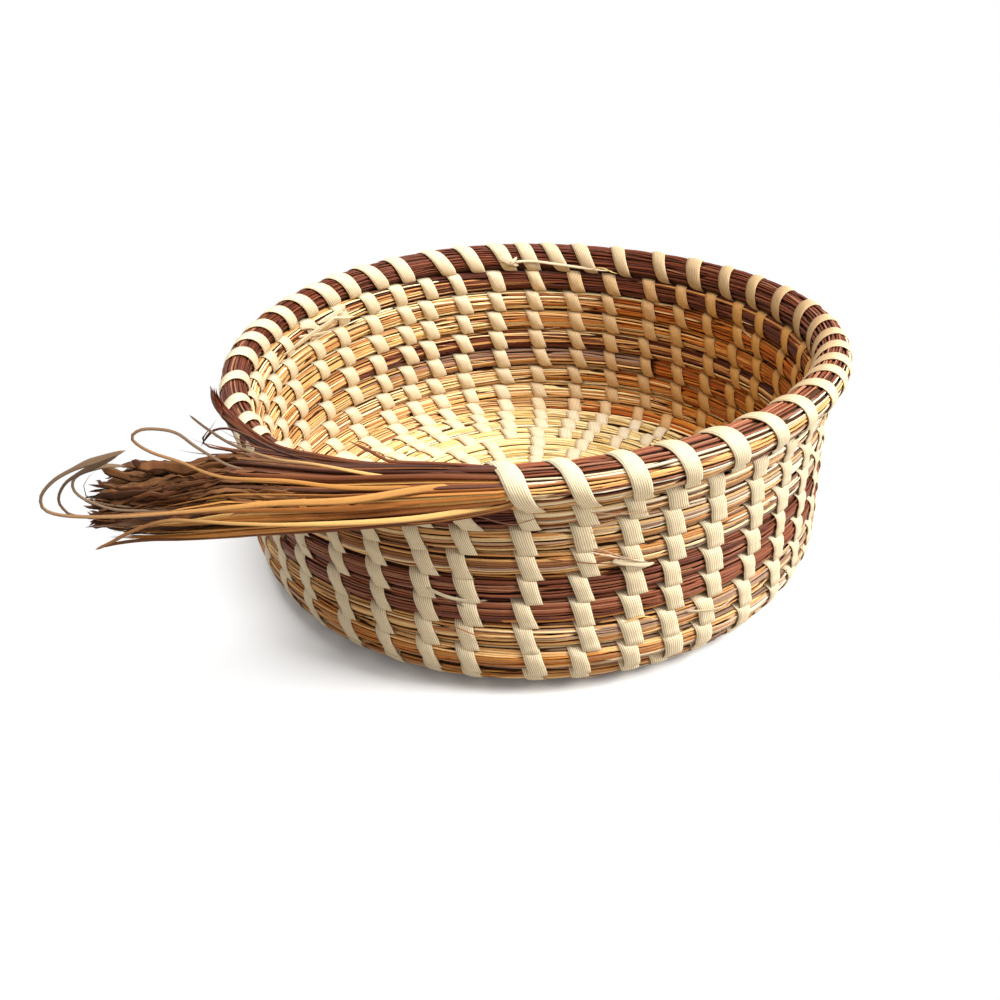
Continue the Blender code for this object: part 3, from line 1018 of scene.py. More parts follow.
    def stems(self, first: float, last: float, draw: np.random.Generator) -> list[Strand]:
        """Stems of one stretch, laid end to end in lanes that weave a little.

        Args:
            first: The stretch's first turn.
            last: Its last turn.
            draw: Random numbers.

        Returns:
            The stems.
        """
        ticks = self.ticks(first, last)
        laid = []
        for lane in self.lanes((first + last) / 2):
            start = -int(draw.integers(0, 12))
            while start < len(ticks) - 1:
                radius = self.shape.radius_at(ticks[max(start, 0)])
                spacing = TAU * radius * self.stitch_share / self.ticks_per_stitch
                spacing = max(spacing, self.least_tick)
                count = max(4, int(draw.uniform(*self.stem_length) / spacing))
                begin, end = max(start, 0), min(start + count, len(ticks) - 1)
                if end - begin >= 2:
                    laid.append(self._stem(ticks[begin:end + 1], lane, draw))
                start += count
        return laid

    def _laid(self, turns: np.ndarray, angle: np.ndarray, reach: np.ndarray, size: float,
              tone: tuple[float, float, float], draw: np.random.Generator) -> Strand:
        """Strand along the bundle at these angles and distances from its middle.

        Args:
            turns: Its points' places along the bundle.
            angle: Their places around it.
            reach: Their distances from its middle.
            size: The strand's radius.
            tone: Its colour.
            draw: Random numbers.

        Returns:
            The strand.
        """
        points = self.shape.surface(turns, angle, reach)
        self.shape.keep_above(points, size + 3 * self.shape.floor_clearance)
        out, up = self.shape.axes(turns)
        normals = np.cos(angle)[:, None] * out + np.sin(angle)[:, None] * up
        girth = np.full(len(turns), size)
        return Strand(points, normals, girth, girth, tone, draw.uniform(0, 50))

    def _stem(self, turns: np.ndarray, lane: float, draw: np.random.Generator) -> Strand:
        """One stem along a lane.

        Args:
            turns: Its points' places along the bundle.
            lane: Angle that it keeps near to.
            draw: Random numbers.

        Returns:
            The stem.
        """
        share = np.linspace(0, 1, len(turns))
        sway = ripple(share, 2, 9, draw) + draw.uniform(-0.6, 0.6)
        angle = lane + self.wander * draw.uniform(0.3, 1.0) * sway
        size = self.stem_radius * draw.uniform(0.62, 1.15)
        depth = draw.uniform(-0.08, 0.30) * MM + 0.10 * MM * ripple(share, 2, 7, draw)
        sink = 0.35 * MM * np.maximum(0, 1 - np.minimum(share, 1 - share) * len(turns) / 1.5)
        reach = self.shape.section(turns, angle, self.squeeze(turns)) - size - depth - sink
        tone = self.kind(float(turns[len(turns) // 2]), float(lane), draw).pick(draw)
        return self._laid(turns, angle, reach, size, tone, draw)

    def strays(self, first: float, last: float, draw: np.random.Generator) -> list[Strand]:
        """Thin stems that cross their neighbours at a small angle.

        Args:
            first: The stretch's first turn.
            last: Its last turn.
            draw: Random numbers.

        Returns:
            The stems.
        """
        ticks = self.ticks(first, last)
        laid = []
        for _ in range(int((last - first) * self.stray_pace)):
            begin = int(draw.integers(0, max(1, len(ticks) - 14)))
            turns = ticks[begin:begin + int(draw.integers(6, 14))]
            if len(turns) < 4:
                continue
            face = draw.choice([0.0, math.pi])
            start = draw.uniform(-0.9, 0.9)
            angle = face + np.linspace(start, start + draw.uniform(-0.5, 0.5), len(turns))
            size = draw.uniform(0.16, 0.28) * MM
            arch = 0.25 * MM * np.sin(np.linspace(0, math.pi, len(turns)))
            reach = self.shape.section(turns, angle, self.squeeze(turns)) - size * 0.4
            reach = reach - 0.25 * MM + arch
            tone = self.kind(float(turns[0]), face, draw).pick(draw)
            laid.append(self._laid(turns, angle, reach, size, tone, draw))
        return laid

    def core(self, first: float, last: float) -> Strand:
        """Packed middle of a stretch, coloured dark as painted shade where it shows between the
        stems.

        Args:
            first: The stretch's first turn.
            last: Its last turn.

        Returns:
            The core as one strand.
        """
        turns = np.linspace(first, last, max(8, round((last - first) * self.core_pace)))
        radius = self.shape.bundle_radius(turns)
        depth = radius - self.core_inset
        points = self.shape.middle(turns)
        self.shape.keep_above(points, depth + 3 * self.shape.floor_clearance)
        out, up = self.shape.axes(turns)
        free = turns < self.core_free_until
        points = points - np.where(free, self.core_sink, 0)[:, None] * up
        pressed_lead = self.shape.gap / 2 + self.core_pressed_lead
        reach = radius + np.where(free, self.core_free_lead, pressed_lead)
        return Strand(points, out, reach, depth, linear(*self.core_shade_colour))

    def build(self, finishes: Finishes) -> None:
        """Makes each stretch, in place of its solid.

        Args:
            finishes: The basket's materials.
        """
        draw = np.random.default_rng(self.seed)
        for grade, (first, last) in self.stretches().items():
            strands = self.stems(first, last, draw) + self.strays(first, last, draw)
            finish = finishes.needle if grade.slot == "pine_needles" else finishes.grass
            StrandPiece(grade.node + "_stems", 4, strands).place(finish, grade.slot, grade.node)
            lead = max(first - self.core_overlap, self.rim_lead)
            core = self.core(lead, last + self.core_overlap)
            StrandPiece(grade.node + "_core", 10, [core]).place(finishes.core, grade.slot)


@dataclass
class Binding:
    """The strip's stitches: each one up the outside, over the top and down the inside."""

    shape: CoilShape
    stitches: np.ndarray
    widths: tuple[float, ...] = (3.8, 5.3, 5.3, 4.8, 4.6, 4.7)
    width_places: tuple[float, ...] = (-1, -0.75, -0.3, 0.1, 0.4, 1)
    inner_lean: float = 1.5
    # Amber tints of the inside of the stitches, and the azimuth where they are strongest: painted
    # shade of the inner right wall
    amber: tuple[float, float, float] = (0.74, 0.43, 0.14)
    rim_amber: tuple[float, float, float] = (0.60, 0.46, 0.32)
    painted_shade_azimuth: float = 8.0
    rim_until: float = 0.97
    least_radius: float = 8 * MM
    widest_share: float = 0.78
    waver: float = 0.06
    inner_crown: float = 0.50 * MM
    outer_crown: float = 0.16 * MM
    fade_lead: float = 0.6 * MM
    fade: float = 2.0 * MM
    seam: float = 0.01
    rim_grid: tuple[int, int] = (27, 6)
    wall_grid: tuple[int, int] = (21, 4)
    stitch_length: float = 1.5
    stitch_offset: float = 7.3
    thickness: float = 0.22 * MM
    lift: float = 0.26 * MM
    wall_lean: float = 2.0 / 360
    rim_lean: float = 3.3 / 360
    seed: int = 8
    foot_bundle: float = 3.53
    foot_limit: float = 1.25
    foot: tuple[tuple[float, float], ...] = (
        (0.9, -1.6), (2.2, -1.6), (3.15, -1.15), (3.52, -0.50), (3.50, 0.30),
    )
    inner_foot: tuple[tuple[float, float], ...] = (
        (-3.15, 0.45), (-2.6, -0.05), (-1.9, -0.45), (-0.9, -0.8),
    )

    def section_path(self, turn: float, count: int) -> np.ndarray:
        """The strip's way round the bundle, outside to inside.

        Args:
            turn: The stitch's place along the bundle.
            count: Points wanted.

        Returns:
            Rows of outward and upward distances from the bundle's middle.
        """
        size = float(self.shape.bundle_radius(turn))
        crevice = size + self.shape.gap / 2
        scale = min(size, self.foot_limit * self.shape.bundle) / self.foot_bundle
        outer = np.array(self.foot) * scale + [0, -crevice]
        inner = np.array(self.inner_foot) * scale + [0, -crevice]
        angle = np.radians([-42, -25, -5, 15, 35, 55, 73, 90, 107, 125, 145, 165, 185, 203, 217])
        place, lift = np.full(len(angle), turn), np.full(len(angle), self.lift)
        reach = self.shape.section(place, angle, -lift)
        over = reach[:, None] * np.stack([np.cos(angle), np.sin(angle)], axis=1)
        over[:, 0] *= np.where(angle < math.pi / 2, 1.0, 1.02)
        return smooth_path(np.vstack([outer, over, inner]), count)

    def ribbon(self, turn: float, rows: int, columns: int, draw: np.random.Generator) -> np.ndarray:
        """Outer face of one stitch.

        Args:
            turn: Its place along the bundle, over the top.
            rows: Points along it.
            columns: Points across it.
            draw: Random numbers.

        Returns:
            An array of rows, columns and 3.
        """
        at_rim = turn < self.rim_until
        path = self.section_path(turn, rows)
        size = float(self.shape.bundle_radius(turn))
        radius = max(self.shape.radius_at(turn), self.least_radius)
        share = np.linspace(1, -1, rows)
        lean = (self.rim_lean if at_rim else self.wall_lean) * draw.uniform(0.8, 1.2)
        if turn < 0:
            lean = self.rim_lean * 1.2
        swing = share * np.where(share < 0, self.inner_lean, 1)
        middle = turn + lean * swing * min(1, self.shape.rim_radius / radius * 0.5 + 0.5)
        width = np.interp(share, self.width_places, self.widths) * MM
        if at_rim:
            width = width * np.interp(turn, [0, 0.15, 0.45, 0.85, 1], [1, 1, 1.12, 1.12, 1])
        half = np.minimum(0.5 * width * draw.uniform(0.92, 1.08), self.widest_share * size)
        across = np.linspace(-1, 1, columns)
        phase = np.linspace(0, draw.uniform(3, 8), rows) + draw.uniform(0, TAU)
        wave = 1 + self.waver * np.sin(phase)
        turns = middle[:, None] + (half * wave)[:, None] * across[None] / (TAU * radius)
        crown = np.where(share < 0, self.inner_crown, self.outer_crown)[:, None]
        crown = crown * (1 - across[None] ** 2)
        out, up = self.shape.axes(turns)
        away = path[:, :1] + np.sign(path[:, :1]) * crown
        above = path[:, 1:] + (crown * np.clip(path[:, 1:] / size, 0, 1) if at_rim else 0)
        points = self.shape.middle(turns) + away[..., None] * out + above[..., None] * up
        if turn + 1 < self.shape.start_turn:
            lowered = above + self.shape.pitch + (size - self.shape.bundle)
            out, up = self.shape.axes(turns + 1)
            below = self.shape.middle(turns + 1) + away[..., None] * out + lowered[..., None] * up
            lower = np.clip((-above - size + self.fade_lead) / self.fade, 0, 1)[..., None]
            points = points * (1 - lower) + below * lower
        self.shape.keep_above(points, 2.5 * self.shape.floor_clearance)
        return points

    def age(self, turn: float, share: float) -> tuple[float, float, float]:
        """How far the strip is tinted amber there: painted shade, strongest on the inner right
        wall.

        Args:
            turn: The stitch's place along the bundle.
            share: Where along the stitch, from 1 outside to -1 inside.

        Returns:
            Shares of the strip's own red, green and blue that are left.
        """
        side = max(0.0, math.cos(math.radians(azimuth(turn) - self.painted_shade_azimuth))) ** 0.8
        inside = min(max(0.15 - share, 0) * 2.5, 1)
        wall = min(max(self.shape.corner_turn - turn, 0), 1)
        amount = side * inside * wall
        shaded = self.rim_amber if turn < 1 else self.amber
        return tuple(1 - amount * (1 - kept) for kept in shaded)

    def build_part(self, name: str, turns: np.ndarray, rows: int, columns: int,
                   material: bpy.types.Material, draw: np.random.Generator) -> bpy.types.Object:
        """Makes the stitches of one stretch as a mesh.

        Args:
            name: The piece's name.
            turns: The stitches.
            rows: Points along each stitch.
            columns: Points across it.
            material: The strip's material.
            draw: Random numbers.

        Returns:
            The object.
        """
        ribbons = np.concatenate([self.ribbon(turn, rows, columns, draw) for turn in turns])
        row = np.arange(len(ribbons))
        stitch, step = np.divmod(row, rows)
        shares = 1 - 2 * step / (rows - 1)
        # Each stitch's tone carries the painted shade of the inner right wall
        tones = np.array([self.age(float(turns[i]), float(at)) for i, at in zip(stitch, shares)])
        along = row / rows * self.stitch_length + stitch * self.stitch_offset
        ends = np.arange(1, len(turns) + 1) * rows - 1
        bm = cut_grid(ribbons, tones, along, np.linspace(0, 1, columns), ends)
        bmesh.ops.recalc_face_normals(bm, faces=bm.faces)
        made = finish_mesh(name, bm, material)
        shell = made.modifiers.new("thickness", "SOLIDIFY")
        shell.thickness = self.thickness
        shell.offset = -1
        return made

    def build(self, finishes: Finishes, grades: dict[Grade, tuple[float, float]]) -> None:
        """Makes the stitches of every stretch; the rim's stand for the strip's solid.

        Args:
            finishes: The basket's materials.
            grades: First and last turn of each stretch.
        """
        draw = np.random.default_rng(self.seed)
        for grade, (first, last) in grades.items():
            starts = self.stitches + self.seam
            turns = self.stitches[(starts >= first) & (starts < last)]
            rim = grade is Grade.RIM
            name = grade.node.replace("_coil", "") + "_stitches"
            rows, columns = self.rim_grid if rim else self.wall_grid
            made = self.build_part(name, turns, rows, columns, finishes.strip, draw)
            place_piece(made, "palmetto_strip", *(["rim_binding_strip"] if rim else []))


@dataclass
class StartKnot:
    """Knot of stems in the middle of the base that the coil winds round."""

    shape: CoilShape
    stems: int = 44
    stem_radius: float = 0.45 * MM
    overlap: float = 0.2 * MM
    seed: int = 3

    def reach(self, turn: np.ndarray) -> np.ndarray:
        """Distance from the base's middle to the coil's innermost turn, beside any turn.

        Args:
            turn: Places along the bundle.

        Returns:
            The distances beside them.
        """
        innermost = self.shape.start_turn - (self.shape.start_turn - turn) % 1
        away = np.hypot(*self.shape.middle(innermost)[:, :2].T)
        return away - self.shape.bundle_radius(innermost) - self.overlap

    def build(self, finishes: Finishes) -> None:
        """Makes the knot: stems wound to a flat ball.

        Args:
            finishes: The basket's materials.
        """
        draw = np.random.default_rng(self.seed)
        wound = []
        height = self.shape.bundle * (1 - 2 * self.shape.flat_share)
        for index in range(self.stems):
            polar = math.pi * (index + 0.5) / self.stems
            turn = np.linspace(0, 1.1, 45) + draw.random()
            tilt = draw.uniform(-0.3, 0.3)
            radius = self.reach(turn) * math.sin(polar)
            angle = bearing(turn)
            x, y = radius * np.cos(angle), radius * np.sin(angle)
            z = height + self.shape.bundle * 0.9 * math.cos(polar) + tilt * MM * np.sin(TAU * turn)
            points = np.stack([x, y, z], axis=1)
            self.shape.keep_above(points, 0.7 * MM)
            girth = np.full(len(points), self.stem_radius)
            normals = unit(points - [0, 0, height])
            tone = (Fibre.GOLDEN, Fibre.CREAM)[draw.integers(2)].pick(draw)
            wound.append(Strand(points, normals, girth, girth, tone, draw.uniform(0, 50)))
        knot = StrandPiece("start_knot_stems", 5, wound)
        knot.place(finishes.grass, "sweetgrass", "start_knot")


@dataclass(frozen=True)
class Single:
    """One blade that leaves the fan and stands for a solid of its own.

    Its points are forward (-X), outward (-Y) and upward distances from the last stitch, in mm.
    """

    node: str
    slot: str
    fibre: Fibre
    tip: Fibre
    half_width: float
    points: tuple[tuple[float, float, float], ...]


SINGLES = (
    Single("outer_hook_blade", "sweetgrass", Fibre.BROOM, Fibre.ASH, 0.85, (
        (1, 2.5, 1.4), (22, 3.8, 2.6), (40.3, 6, 1.8), (57.5, 6, 2), (72.5, 6, 1.2),
        (89.5, 6, 0.6), (98.3, 6, 0.8), (105.7, 6, 1.6), (109.5, 6, 3.1), (110.2, 6, 5.2),
        (109, 6, 7.9), (105, 6, 11.3), (98.7, 6, 14.2), (94.8, 6, 15.4), (87.9, 6, 17.4))),
    Single("middle_hook_blade", "sweetgrass", Fibre.BROOM, Fibre.ASH, 0.7, (
        (1, 2.8, 0.2), (22, 4, -0.6), (41, 5, -1.0), (63.7, 5, -0.2), (84.2, 5, 0.5),
        (98, 5, 0.4), (104.2, 5, 1.0), (106.1, 5, 3), (106.5, 5, 5.1), (105.3, 5, 7.7),
        (102.8, 5, 10.2), (98.1, 5, 12.6), (93.5, 5, 14.4), (89.9, 5, 16.1))),
    Single("inner_hook_blade", "sweetgrass", Fibre.CHESTNUT, Fibre.ASH, 0.7, (
        (1, 2.4, 1.8), (22, 3, 1.6), (45.4, 3, 1.2), (75.6, 3, 0.1), (86.7, 3, 0), (95.1, 3, 0.8),
        (100, 3, 3), (102.4, 3, 4.8), (103.4, 3, 7), (102.5, 3, 9.4), (99.6, 3, 11.2),
        (95.6, 3, 12.2), (90.2, 3, 12))),
    Single("loop_blade", "sweetgrass", Fibre.STRAW, Fibre.ASH, 0.6, (
        (1, 2.6, 2.2), (20, 3, 2.4), (40.6, 3, 3.3), (55, 3, 6), (69.3, 3, 7.9), (77.8, 3, 12.3),
        (83.9, 3, 15.2), (87.2, 3, 18.6), (84.9, 3, 20.7), (80.5, 3, 20.6), (76.8, 3, 19.3),
        (73.4, 3, 15.8), (67.8, 3, 11.2), (63.6, 3, 9.4))),
    Single("crossing_blade", "sweetgrass", Fibre.STRAW, Fibre.ASH, 0.55, (
        (1, 0.6, 4.0), (14, 0.4, 3.2), (29.5, 0, 3.4), (48.1, 0, 8.2), (57.2, 0, 10.2),
        (65.8, 0, 14.2), (71, 0, 18.6), (74.4, 0, 22.3))),
    Single("lower_blade", "sweetgrass", Fibre.STRAW, Fibre.PAPER, 0.7, (
        (1, 2.6, -2.6), (27, 6.5, -3.6), (52, 7.5, -3.0), (66, 7.5, -2.0), (75, 7.5, -0.8),
        (80.9, 7.5, -0.2), (85.7, 7.5, -0.9), (91.8, 7.5, -3), (96.1, 7.5, -5.2),
        (100.3, 7.5, -7))),
    Single("drooping_blade", "sweetgrass", Fibre.CHESTNUT, Fibre.PAPER, 0.7, (
        (1, 1.8, -4.2), (9, 2, -5.4), (21, 2, -7.0), (35, 2, -7.6), (47, 2, -8.2), (63, 2, -8.3),
        (78, 2, -8.6), (90, 2, -8.4), (97, 2, -8.9), (101.5, 2, -9.8))),
    Single("kinked_needle", "pine_needles", Fibre.MAHOGANY, Fibre.CHESTNUT, 0.5, (
        (1, -0.4, 4.2), (10.7, -0.6, 5.2), (20.3, -0.6, 6.5), (30, -0.6, 7.5), (32.6, -0.8, 8.3),
        (36, -1.2, 10.5), (40.1, -1.7, 12.8))),
    Single("rim_needle", "pine_needles", Fibre.CHESTNUT, Fibre.CHESTNUT, 0.9, (
        (1, 0.6, 4.4), (16, 0.2, 5), (30, -4.2, 4.2), (45, -10, 3.4), (59.5, -19, 2.2),
        (66.3, -25, 1.8), (70.9, -29.4, 2.8), (75.2, -33.6, 4), (78.8, -37.1, 5.6),
        (79.3, -35.4, 10), (78, -31.4, 15.2))),
)

# Two dark needles that arch back over the broom, and one more hooked blade, in the same measure
ARCHED_NEEDLES = (
    ((40, -4, 3), (58, -11, 6), (66, -12, 10.6), (70, -12, 12.6), (73.4, -12, 12.3),
     (75.7, -12, 10.3), (77.3, -12, 8.2)),
    ((40, -4, 4), (60, -12, 5), (74, -12, 7.6), (76.6, -12, 9.6), (75.6, -12, 11.4),
     (74.2, -12, 12.8), (72, -12, 15.3)),
)
HIDDEN_HOOK = (
    (1, 1.5, -1), (30, 2, -1.6), (68.5, 1, -1.7), (82.7, 1, -1.4), (94.3, 1, 0.4), (99.7, 1, 1.8),
    (102, 1, 4.1), (101.8, 1, 6.3), (99.8, 1, 8.8), (97.6, 1, 10.3),
)

# The row of needles that hugs the rim, in mm: the run along it, its radius, and its lower and
# upper edge over the middle of the last stitch
RIM_ROW = (
    (-6, 90, 1.4, 4.2), (0, 90, 1.5, 4.5), (11, 90.8, 1.8, 5.3), (30, 91.6, 0.8, 5.0),
    (43, 92, -0.9, 4.4), (54, 92.3, -1.0, 4.0), (62, 92.5, -1.4, 3.0), (70, 92.7, -0.9, 2.6),
    (78, 93, 0.4, 3.4), (84, 93.4, 1.6, 4.6), (90, 94.6, 4, 7), (95, 96.4, 8.4, 11),
    (101, 97.5, 13.6, 15.6),
)


@dataclass
class Tail:
    """The bundle's unworked end: dark needles that hug the rim, golden blades that run on."""

    shape: CoilShape
    seed: int = 14
    flat_tipped: tuple[str, ...] = ("outer_hook_blade", "middle_hook_blade", "inner_hook_blade")
    single_points: int = 96
    sight: float = 0.58
    broom_length: float = 105.0
    broom_rounding: float = 0.13
    dark_strands: int = 130
    golden_blades: int = 240
    papery_blades: int = 420
    front_lean: float = 0.9
    golden_from: float = -0.35
    broad_share: float = 0.35
    paper_depth: float = 0.10
    single_depth: float = 0.16
    run_stations: tuple[float, ...] = (-6, 0, 7, 21, 45, 70, 82, 96, 112)
    middle_out: tuple[float, ...] = (0.0, 0.0, 0.4, 0.0, -2.5, -3.9, -4.5, -5.2, -6.0)
    middle_up: tuple[float, ...] = (0.0, 0.0, -0.3, -0.8, -1.8, -0.9, -2.4, -3.6, -3.4)
    half_out: tuple[float, ...] = (3.4, 3.6, 4.6, 5.0, 6.5, 8.0, 8.0, 7.6, 7.2)
    half_up: tuple[float, ...] = (3.4, 3.6, 4.8, 6.6, 7.6, 10.0, 8.6, 7.0, 6.0)

    def _end(self) -> np.ndarray:
        """The middle of the last stitch."""
        return self.shape.middle(np.array([0.0]))[0]

    def fan(self, outward: float, upward: float, runs: np.ndarray) -> np.ndarray:
        """Places along a strand of the broom that runs straight on from the last stitch.

        Args:
            outward: Where it lies in the broom, as a share of its half depth.
            upward: The same, of its half height.
            runs: Lengths along it, in mm.

        Returns:
            The places.
        """
        out = np.interp(runs, self.run_stations, self.middle_out)
        out = out + outward * np.interp(runs, self.run_stations, self.half_out)
        up = np.interp(runs, self.run_stations, self.middle_up)
        up = up + upward * np.interp(runs, self.run_stations, self.half_up)
        return self._end() + np.stack([-runs, -out, up], axis=1) * MM

    def hugging(self, inward: float, upward: float, runs: np.ndarray) -> np.ndarray:
        """Places along a needle that keeps to the rim's curve.

        Args:
            inward: Where it lies in the row, from 0 to 1.
            upward: The same, upwards.
            runs: Lengths along it, in mm.

        Returns:
            The places.
        """
        stations, *edges = np.array(RIM_ROW).T
        radius, low, high = (np.interp(runs, stations, edge) for edge in edges)
        inset = inward * upward * np.interp(runs, [0, 30, 100], [3.4, 2.8, 1.2])
        radius = radius - inset
        turned = np.interp(runs, [-6, 0, 90.4, 95.5, 101], [-3.8, 0, 56.3, 55.1, 52.8])
        angle = np.radians(-90 - turned)
        height = self._end()[2] + (low + (high - low) * upward - self.sight * inset) * MM
        return np.stack([radius * MM * np.cos(angle), radius * MM * np.sin(angle), height], axis=1)

    def strand(self, points: np.ndarray, half_width: float, half_depth: float,
               fibres: tuple[Fibre, Fibre], draw: np.random.Generator, waver: float = 0.8,
               faced: bool = False) -> Strand:
        """One loose strand, a little wavy and twisted, drawn to a tip.

        Args:
            points: Its path.
            half_width: Half its width at the middle, in mm.
            half_depth: Half its thickness, in mm.
            fibres: Its colour where it leaves the stitch and at its tip.
            draw: Random numbers.
            waver: How far it strays from its path at the tip, in mm.
            faced: Whether its flat side keeps facing out and up.

        Returns:
            The strand.
        """
        share = np.linspace(0, 1, len(points))
        for axis in (1, 2):
            wave = waver * draw.uniform(0.3, 1) * MM * share**1.3
            points[:, axis] += wave * ripple(share, 2, 7, draw)
        twist = draw.uniform(-0.9, 0.9) + share * draw.uniform(-1.2, 1.2)
        if faced:
            twist = np.full(len(points), 0.5)
        normals = np.stack([np.zeros_like(twist), -np.cos(twist), np.sin(twist)], axis=1)
        taper = np.clip((1 - share) * 4, 0.10, 1) * (0.70 + 0.30 * np.minimum(share * 5, 1))
        first, last = np.array(fibres[0].pick(draw)), np.array(fibres[1].pick(draw))
        mixed = np.clip((share - 0.45) / 0.4, 0, 1)[:, None]
        tone = first * (1 - mixed) + last * mixed
        sizes = [half * MM * taper for half in (half_width, half_depth)]
        return Strand(points, normals, *sizes, tone, draw.uniform(0, 50))

    def measured(self, offsets: tuple[tuple[float, float, float], ...], count: int) -> np.ndarray:
        """A path through points given forward, outward and upward of the last stitch, in mm."""
        return smooth_path(self._end() + np.array(offsets) * [-1, -1, 1] * MM, count)

    def needles(self, draw: np.random.Generator) -> list[Strand]:
        """Dark needles: most keep to the rim, the rest run between them and the broom.

        Args:
            draw: Random numbers.

        Returns:
            The needles.
        """
        laid = []
        for index in range(self.dark_strands):
            longest = index % 9 == 0
            length = draw.uniform(99.6, 101) if longest else 52 + 40 * draw.random()
            runs = np.linspace(-5, length, 30 if longest else 22)
            hugging = self.hugging(draw.random(), draw.random(), runs)
            part = 0.0 if index % 3 else draw.uniform(0.15, 0.8) * (not longest)
            straight = self.fan(draw.uniform(-0.8, -0.1), draw.uniform(0.35, 0.95), runs)
            share = (np.clip(runs / 30, 0, 1) ** 1.5)[:, None] * part
            points = hugging * (1 - share) + straight * share
            ruddy = draw.random() < 0.4 and not longest
            root = Fibre.MAHOGANY if ruddy else Fibre.CHESTNUT
            tip = Fibre.RUSSET if longest else Fibre.CHESTNUT
            width = draw.uniform(0.5, 0.75) if longest else draw.uniform(0.28, 0.6)
            waver = 0.2 if longest else 0.6
            made = self.strand(points, width, draw.uniform(0.22, 0.36), (root, tip), draw, waver)
            if longest:
                made.half_width = self.blunt(width, len(points))
            laid.append(made)
        for offsets in ARCHED_NEEDLES:
            path = self.measured(offsets, 30)
            made = self.strand(path, 0.4, 0.3, (Fibre.CHESTNUT, Fibre.CHESTNUT), draw, 0.0)
            made.half_width = self.blunt(0.4, len(path))
            laid.append(made)
        return laid

    @staticmethod
    def blunt(half_width: float, count: int) -> np.ndarray:
        """Half widths of a needle that keeps its width nearly to its tip."""
        return half_width * MM * np.clip(np.linspace(1, 0, count) * 12, 0.3, 1)

    def reach_of(self, outward: float, upward: float) -> float:
        """How long a strand of the broom is, whose end is rounded.

        Args:
            outward: Where it lies in the broom, as a share of its half depth.
            upward: The same, of its half height.

        Returns:
            Its length, in mm.
        """
        end = (self.fan(outward, upward, np.array([98.0]))[0] - self._end()) / MM
        off = end[2] + self.sight * end[1] + 0.6
        return self.broom_length - self.broom_rounding * 0.74 * off**2

    def blades(self, draw: np.random.Generator) -> list[Strand]:
        """Long blades of the broom: golden at the front and below, brown behind and above.

        Args:
            draw: Random numbers.

        Returns:
            The blades.
        """
        laid = []
        for index in range(self.golden_blades):
            angle, reach = draw.uniform(0, TAU), math.sqrt(draw.random())
            if index % 5 == 0:
                angle, reach = draw.uniform(-1.75, -0.6), 1.0
            outward, upward = reach * math.cos(angle), reach * math.sin(angle)
            length = draw.uniform(84 if upward < 0 else 76, 104)
            length = min(length, self.reach_of(outward, upward))
            points = self.fan(outward, upward, np.linspace(-5, length, 18))
            root, tip, widest = Fibre.CHESTNUT, Fibre.PAPER, 0.7
            front = outward - self.front_lean * upward + draw.uniform(-0.3, 0.3)
            if front > self.golden_from:
                root = (Fibre.BROOM, Fibre.BROOM, Fibre.STRAW, Fibre.CHESTNUT)[draw.integers(4)]
                tip = root if draw.random() < (0.75 if upward < 0 else 0.35) else Fibre.PAPER
                widest = 0.8
            width = draw.uniform(0.3, widest)
            laid.append(self.strand(points, width, draw.uniform(0.10, 0.18), (root, tip), draw))
        path = self.measured(HIDDEN_HOOK, 40)
        laid.append(self.strand(path, 0.45, 0.14, (Fibre.CHESTNUT, Fibre.ASH), draw, 0.0, True))
        return laid

    def papers(self, draw: np.random.Generator) -> list[Strand]:
        """Broad dry blade ends, crumpled, that fill the broom's far half.

        Args:
            draw: Random numbers.

        Returns:
            The blade ends.
        """
        laid = []
        for _ in range(self.papery_blades):
            angle, reach = draw.uniform(0, TAU), draw.random() ** 0.4
            outward, upward = reach * math.cos(angle), max(reach * math.sin(angle), -0.88)
            if upward < -0.1 and outward > -0.2:
                outward, upward = outward * 0.72, upward * 0.84
            broad = draw.random() < self.broad_share
            first = draw.uniform(62 if broad else 36, 84)
            last = first + draw.uniform(14, 34)
            last = min(last, self.reach_of(outward, upward) - 1.5 * draw.random())
            first = max(min(first, last - 12), 30)
            points = self.fan(outward * 0.96, upward * 0.98, np.linspace(first, last, 18))
            share = np.linspace(0, 1, len(points))
            lifted = upward > 0.75 and draw.random() < 0.3
            rise = draw.uniform(1.5, 4) if lifted else draw.uniform(-2, 1.5)
            rise = max(rise, 0.5) if upward < 0 else rise
            points[:, 2] += rise * MM * share**2
            points[:, 1:] += draw.normal(0, 0.08 if broad else 0.22, (len(points), 2)) * MM
            width = draw.uniform(0.9, 1.6) if broad else draw.uniform(0.3, 0.9)
            waver = 2.2 if upward > -0.2 and last > 70 else 0.8
            fibres = (Fibre.PAPER, Fibre.PAPER)
            strand = self.strand(points, width, self.paper_depth, fibres, draw, waver)
            lumps = 1 + 0.2 * ripple(share, 9, 22, draw)
            strand.half_width = width * MM * np.sin(share * math.pi) ** 0.3 * lumps
            strand.tone = strand.tone * draw.uniform(0.75, 1.25, (len(points), 1))
            laid.append(strand)
        return laid

